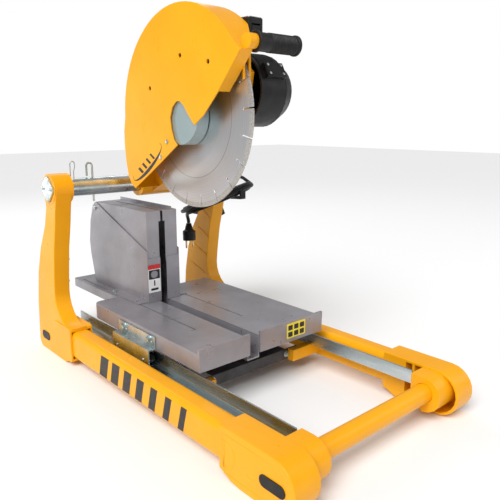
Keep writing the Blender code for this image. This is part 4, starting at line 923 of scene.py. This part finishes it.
def on_guard(y, z):
    """A point on the guard's left face, measured from the blade's centre."""
    return (blade_centre.y + y, blade_centre.z + z)


def on_stripe(along, across):
    """A point on the guard's left face, measured along and across the stripe's own middle line."""
    return on_guard(stripe_middle.x + along * cos(stripe_turn) - across * sin(stripe_turn),
                    stripe_middle.y + along * sin(stripe_turn) + across * cos(stripe_turn))


def printed(outline):
    """A thin printed shape on the guard's left face."""
    return flat_mesh(outline, guard_face - PRINT_THICKNESS, guard_face + PRINT_ROOT)


sweep = [radians(-20 + 220 * step / STRIPE_STEPS) for step in range(STRIPE_STEPS + 1)]
stripe = [on_stripe(stripe_long * cos(turn), stripe_short * sin(turn)) for turn in sweep]
for step in range(STRIPE_STEPS - 1, 0, -1):
    narrowed = stripe_short - STRIPE_WIDTH * sin(pi * step / STRIPE_STEPS)
    stripe.append(on_stripe((stripe_long - STRIPE_TAPER) * cos(sweep[step]), narrowed * sin(sweep[step])))
marks = [printed(stripe)]
for bar in range(4):
    offset, half, slant = -0.030 + 0.0185 * bar, 0.0040 - 0.0004 * bar, 0.0040
    corners = [(offset - half - slant, BAR_FOOT), (offset + half - slant, BAR_FOOT),
               (offset + half + slant, BAR_HEAD), (offset - half + slant, BAR_HEAD)]
    marks.append(printed([on_stripe(along, across) for along, across in corners]))
dress(merged("guard_marks", marks), print_black, "head", "black_plastic")
guard_screws = [((guard_face, *on_guard(0.0400, -0.0485)), (-1, 0, 0)),
                ((guard_face, *on_guard(0.0640, -0.0790)), (-1, 0, 0))]
fasteners("guard_screws", guard_screws, 0.0042, 0.0018, sides=24, body="head")


# Motor: a black moulded drum with low fins round its top and a tapered end cover. A terminal box with a lid
# and four screws stands on its front; inside, the rotor is wound with copper wire.
BOX_REACH, BOX_LEAN, SCREW_INSET, SCREW_RISE = 0.0790, radians(28), 0.007, 0.009
FIN_COUNT, FIN_WIDTH, FIN_OUTER, FIN_INNER = 9, 0.0028, 0.0712, 0.0690
dress(refined("motor_housing", 0.0012, 3), moulded_black, "head", "black_plastic", "motor_housing")
motor_low, motor_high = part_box("motor_housing")
rotor_low, rotor_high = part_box("motor_rotor")
motor_axis = (rotor_low + rotor_high) / 2
outward = Vector((0, -cos(BOX_LEAN), sin(BOX_LEAN)))
upward = Vector((0, sin(BOX_LEAN), cos(BOX_LEAN)))
box_face = motor_axis + outward * BOX_REACH
box_left, box_right = motor_low.x + 0.012, motor_low.x + 0.060
screws = [(Vector((x, box_face.y, box_face.z)) + upward * rise, outward)
          for x in (box_left + SCREW_INSET, box_right - SCREW_INSET) for rise in (-SCREW_RISE, SCREW_RISE)]
fasteners("terminal_screws", screws, 0.0027, 0.0014, sides=24, body="head")


def tilted_slab(name, x_low, x_high, rise_low, rise_high, proud, corner):
    """A flat slab with round corners that stands proud of the terminal box's slanting face."""
    outline = round_rectangle((x_low, rise_low), (x_high, rise_high), corner)
    form = bmesh.new()
    back = [form.verts.new(Vector((x, box_face.y, box_face.z)) + upward * rise - outward * 0.001)
            for x, rise in outline]
    front = [form.verts.new(Vector((x, box_face.y, box_face.z)) + upward * rise + outward * proud)
             for x, rise in outline]
    form.faces.new(back)
    form.faces.new(front[::-1])
    for i in range(len(outline)):
        j = (i + 1) % len(outline)
        form.faces.new((back[i], front[i], front[j], back[j]))
    bmesh.ops.recalc_face_normals(form, faces=form.faces)
    slab = new_object(name, mesh_from(form, name))
    rounding = slab.modifiers.new("round_edges", "BEVEL")
    rounding.width, rounding.segments, rounding.limit_method = 0.0005, 2, "ANGLE"
    return slab


dress(tilted_slab("terminal_lid", box_left + 0.0015, box_right - 0.0015, -0.0135, 0.0135, 0.0012, 0.003),
      moulded_black, "head", "black_plastic")
fins = []
fin_gap = (motor_high.x - motor_low.x - 0.016) / FIN_COUNT
for fin in range(FIN_COUNT):
    x = motor_low.x + 0.010 + fin * fin_gap
    ring = arc((motor_axis.y, motor_axis.z), FIN_OUTER, -20, 150, 30)
    ring += arc((motor_axis.y, motor_axis.z), FIN_INNER, 150, -20, 30)
    fins.append(flat_mesh(ring, x, x + FIN_WIDTH))
dress(merged("motor_fins", fins), moulded_black, "head", "black_plastic")
dress(refined("motor_end_cover", 0.0060, 4), moulded_black, "head", "black_plastic", "motor_end_cover")
copper = new_material("wound_copper", (0.62, 0.30, 0.12), 0.35, 1.0)
mottled(copper, (0.50, 0.22, 0.08), (0.72, 0.40, 0.18), 90)
uneven_gloss(copper, 0.25, 0.45, 120)
dress(refined("motor_rotor", 0.0003), copper, "motor_rotor", "copper_winding", "motor_rotor")


# Switch: a black moulded box on the guard's right side behind the nose, with a rocker in its front face and a
# bright steel cap on top.
dress(refined("switch_box", 0.0012, 3), moulded_black, "head", "black_plastic", "switch_box")
dress(refined("switch_rocker", 0.0006), moulded_black, "switch_rocker", "dark_steel", "switch_rocker")
switch_low, switch_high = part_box("switch_box")
cap_outline = round_rectangle((switch_low.x + 0.0015, switch_low.y + 0.0015),
                              (switch_high.x - 0.0015, switch_high.y - 0.0015), 0.004)
cap = new_object("switch_cap", flat_mesh(cap_outline, switch_high.z - 0.0002, switch_high.z + 0.0008, "Z"))
dress(cap, ground_steel, "head", "bare_steel")


# Handle: a steel bar that sits in the guard's nose, under a black rubber grip. The grip has a collar at both
# ends and rings moulded round its outer part.
dress(refined("handle_bar", 0.0004), ground_steel, "head", "bare_steel", "handle_bar")
grip_low, grip_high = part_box("handle_grip")
grip_length, collar = grip_high.x - grip_low.x, (grip_high.z - grip_low.z) / 2
sleeve = collar - 0.0022
grip_profile = [(0, 0.0083), (0, collar - 0.0006), (0.0006, collar), (0.0042, collar), (0.0050, sleeve)]
ribs_from, ribs_to, rib_count = 0.030, grip_length - 0.010, 17
for rib in range(rib_count):
    along = ribs_from + (ribs_to - ribs_from) * rib / rib_count
    grip_profile += [(along, sleeve), (along + 0.0006, sleeve + 0.0008), (along + 0.0016, sleeve + 0.0008),
                     (along + 0.0022, sleeve)]
grip_profile += [(grip_length - 0.0070, sleeve), (grip_length - 0.0060, collar - 0.0004),
                 (grip_length - 0.0050, collar), (grip_length - 0.0022, collar),
                 (grip_length, collar - 0.0025), (grip_length, 0)]
grip_start = (grip_low.x, (grip_low.y + grip_high.y) / 2, (grip_low.z + grip_high.z) / 2)
grip = turned("rubber_grip", grip_profile, grip_start, (1, 0, 0), 64)
dress(grip, cable_rubber, "head", "black_rubber", "handle_grip")
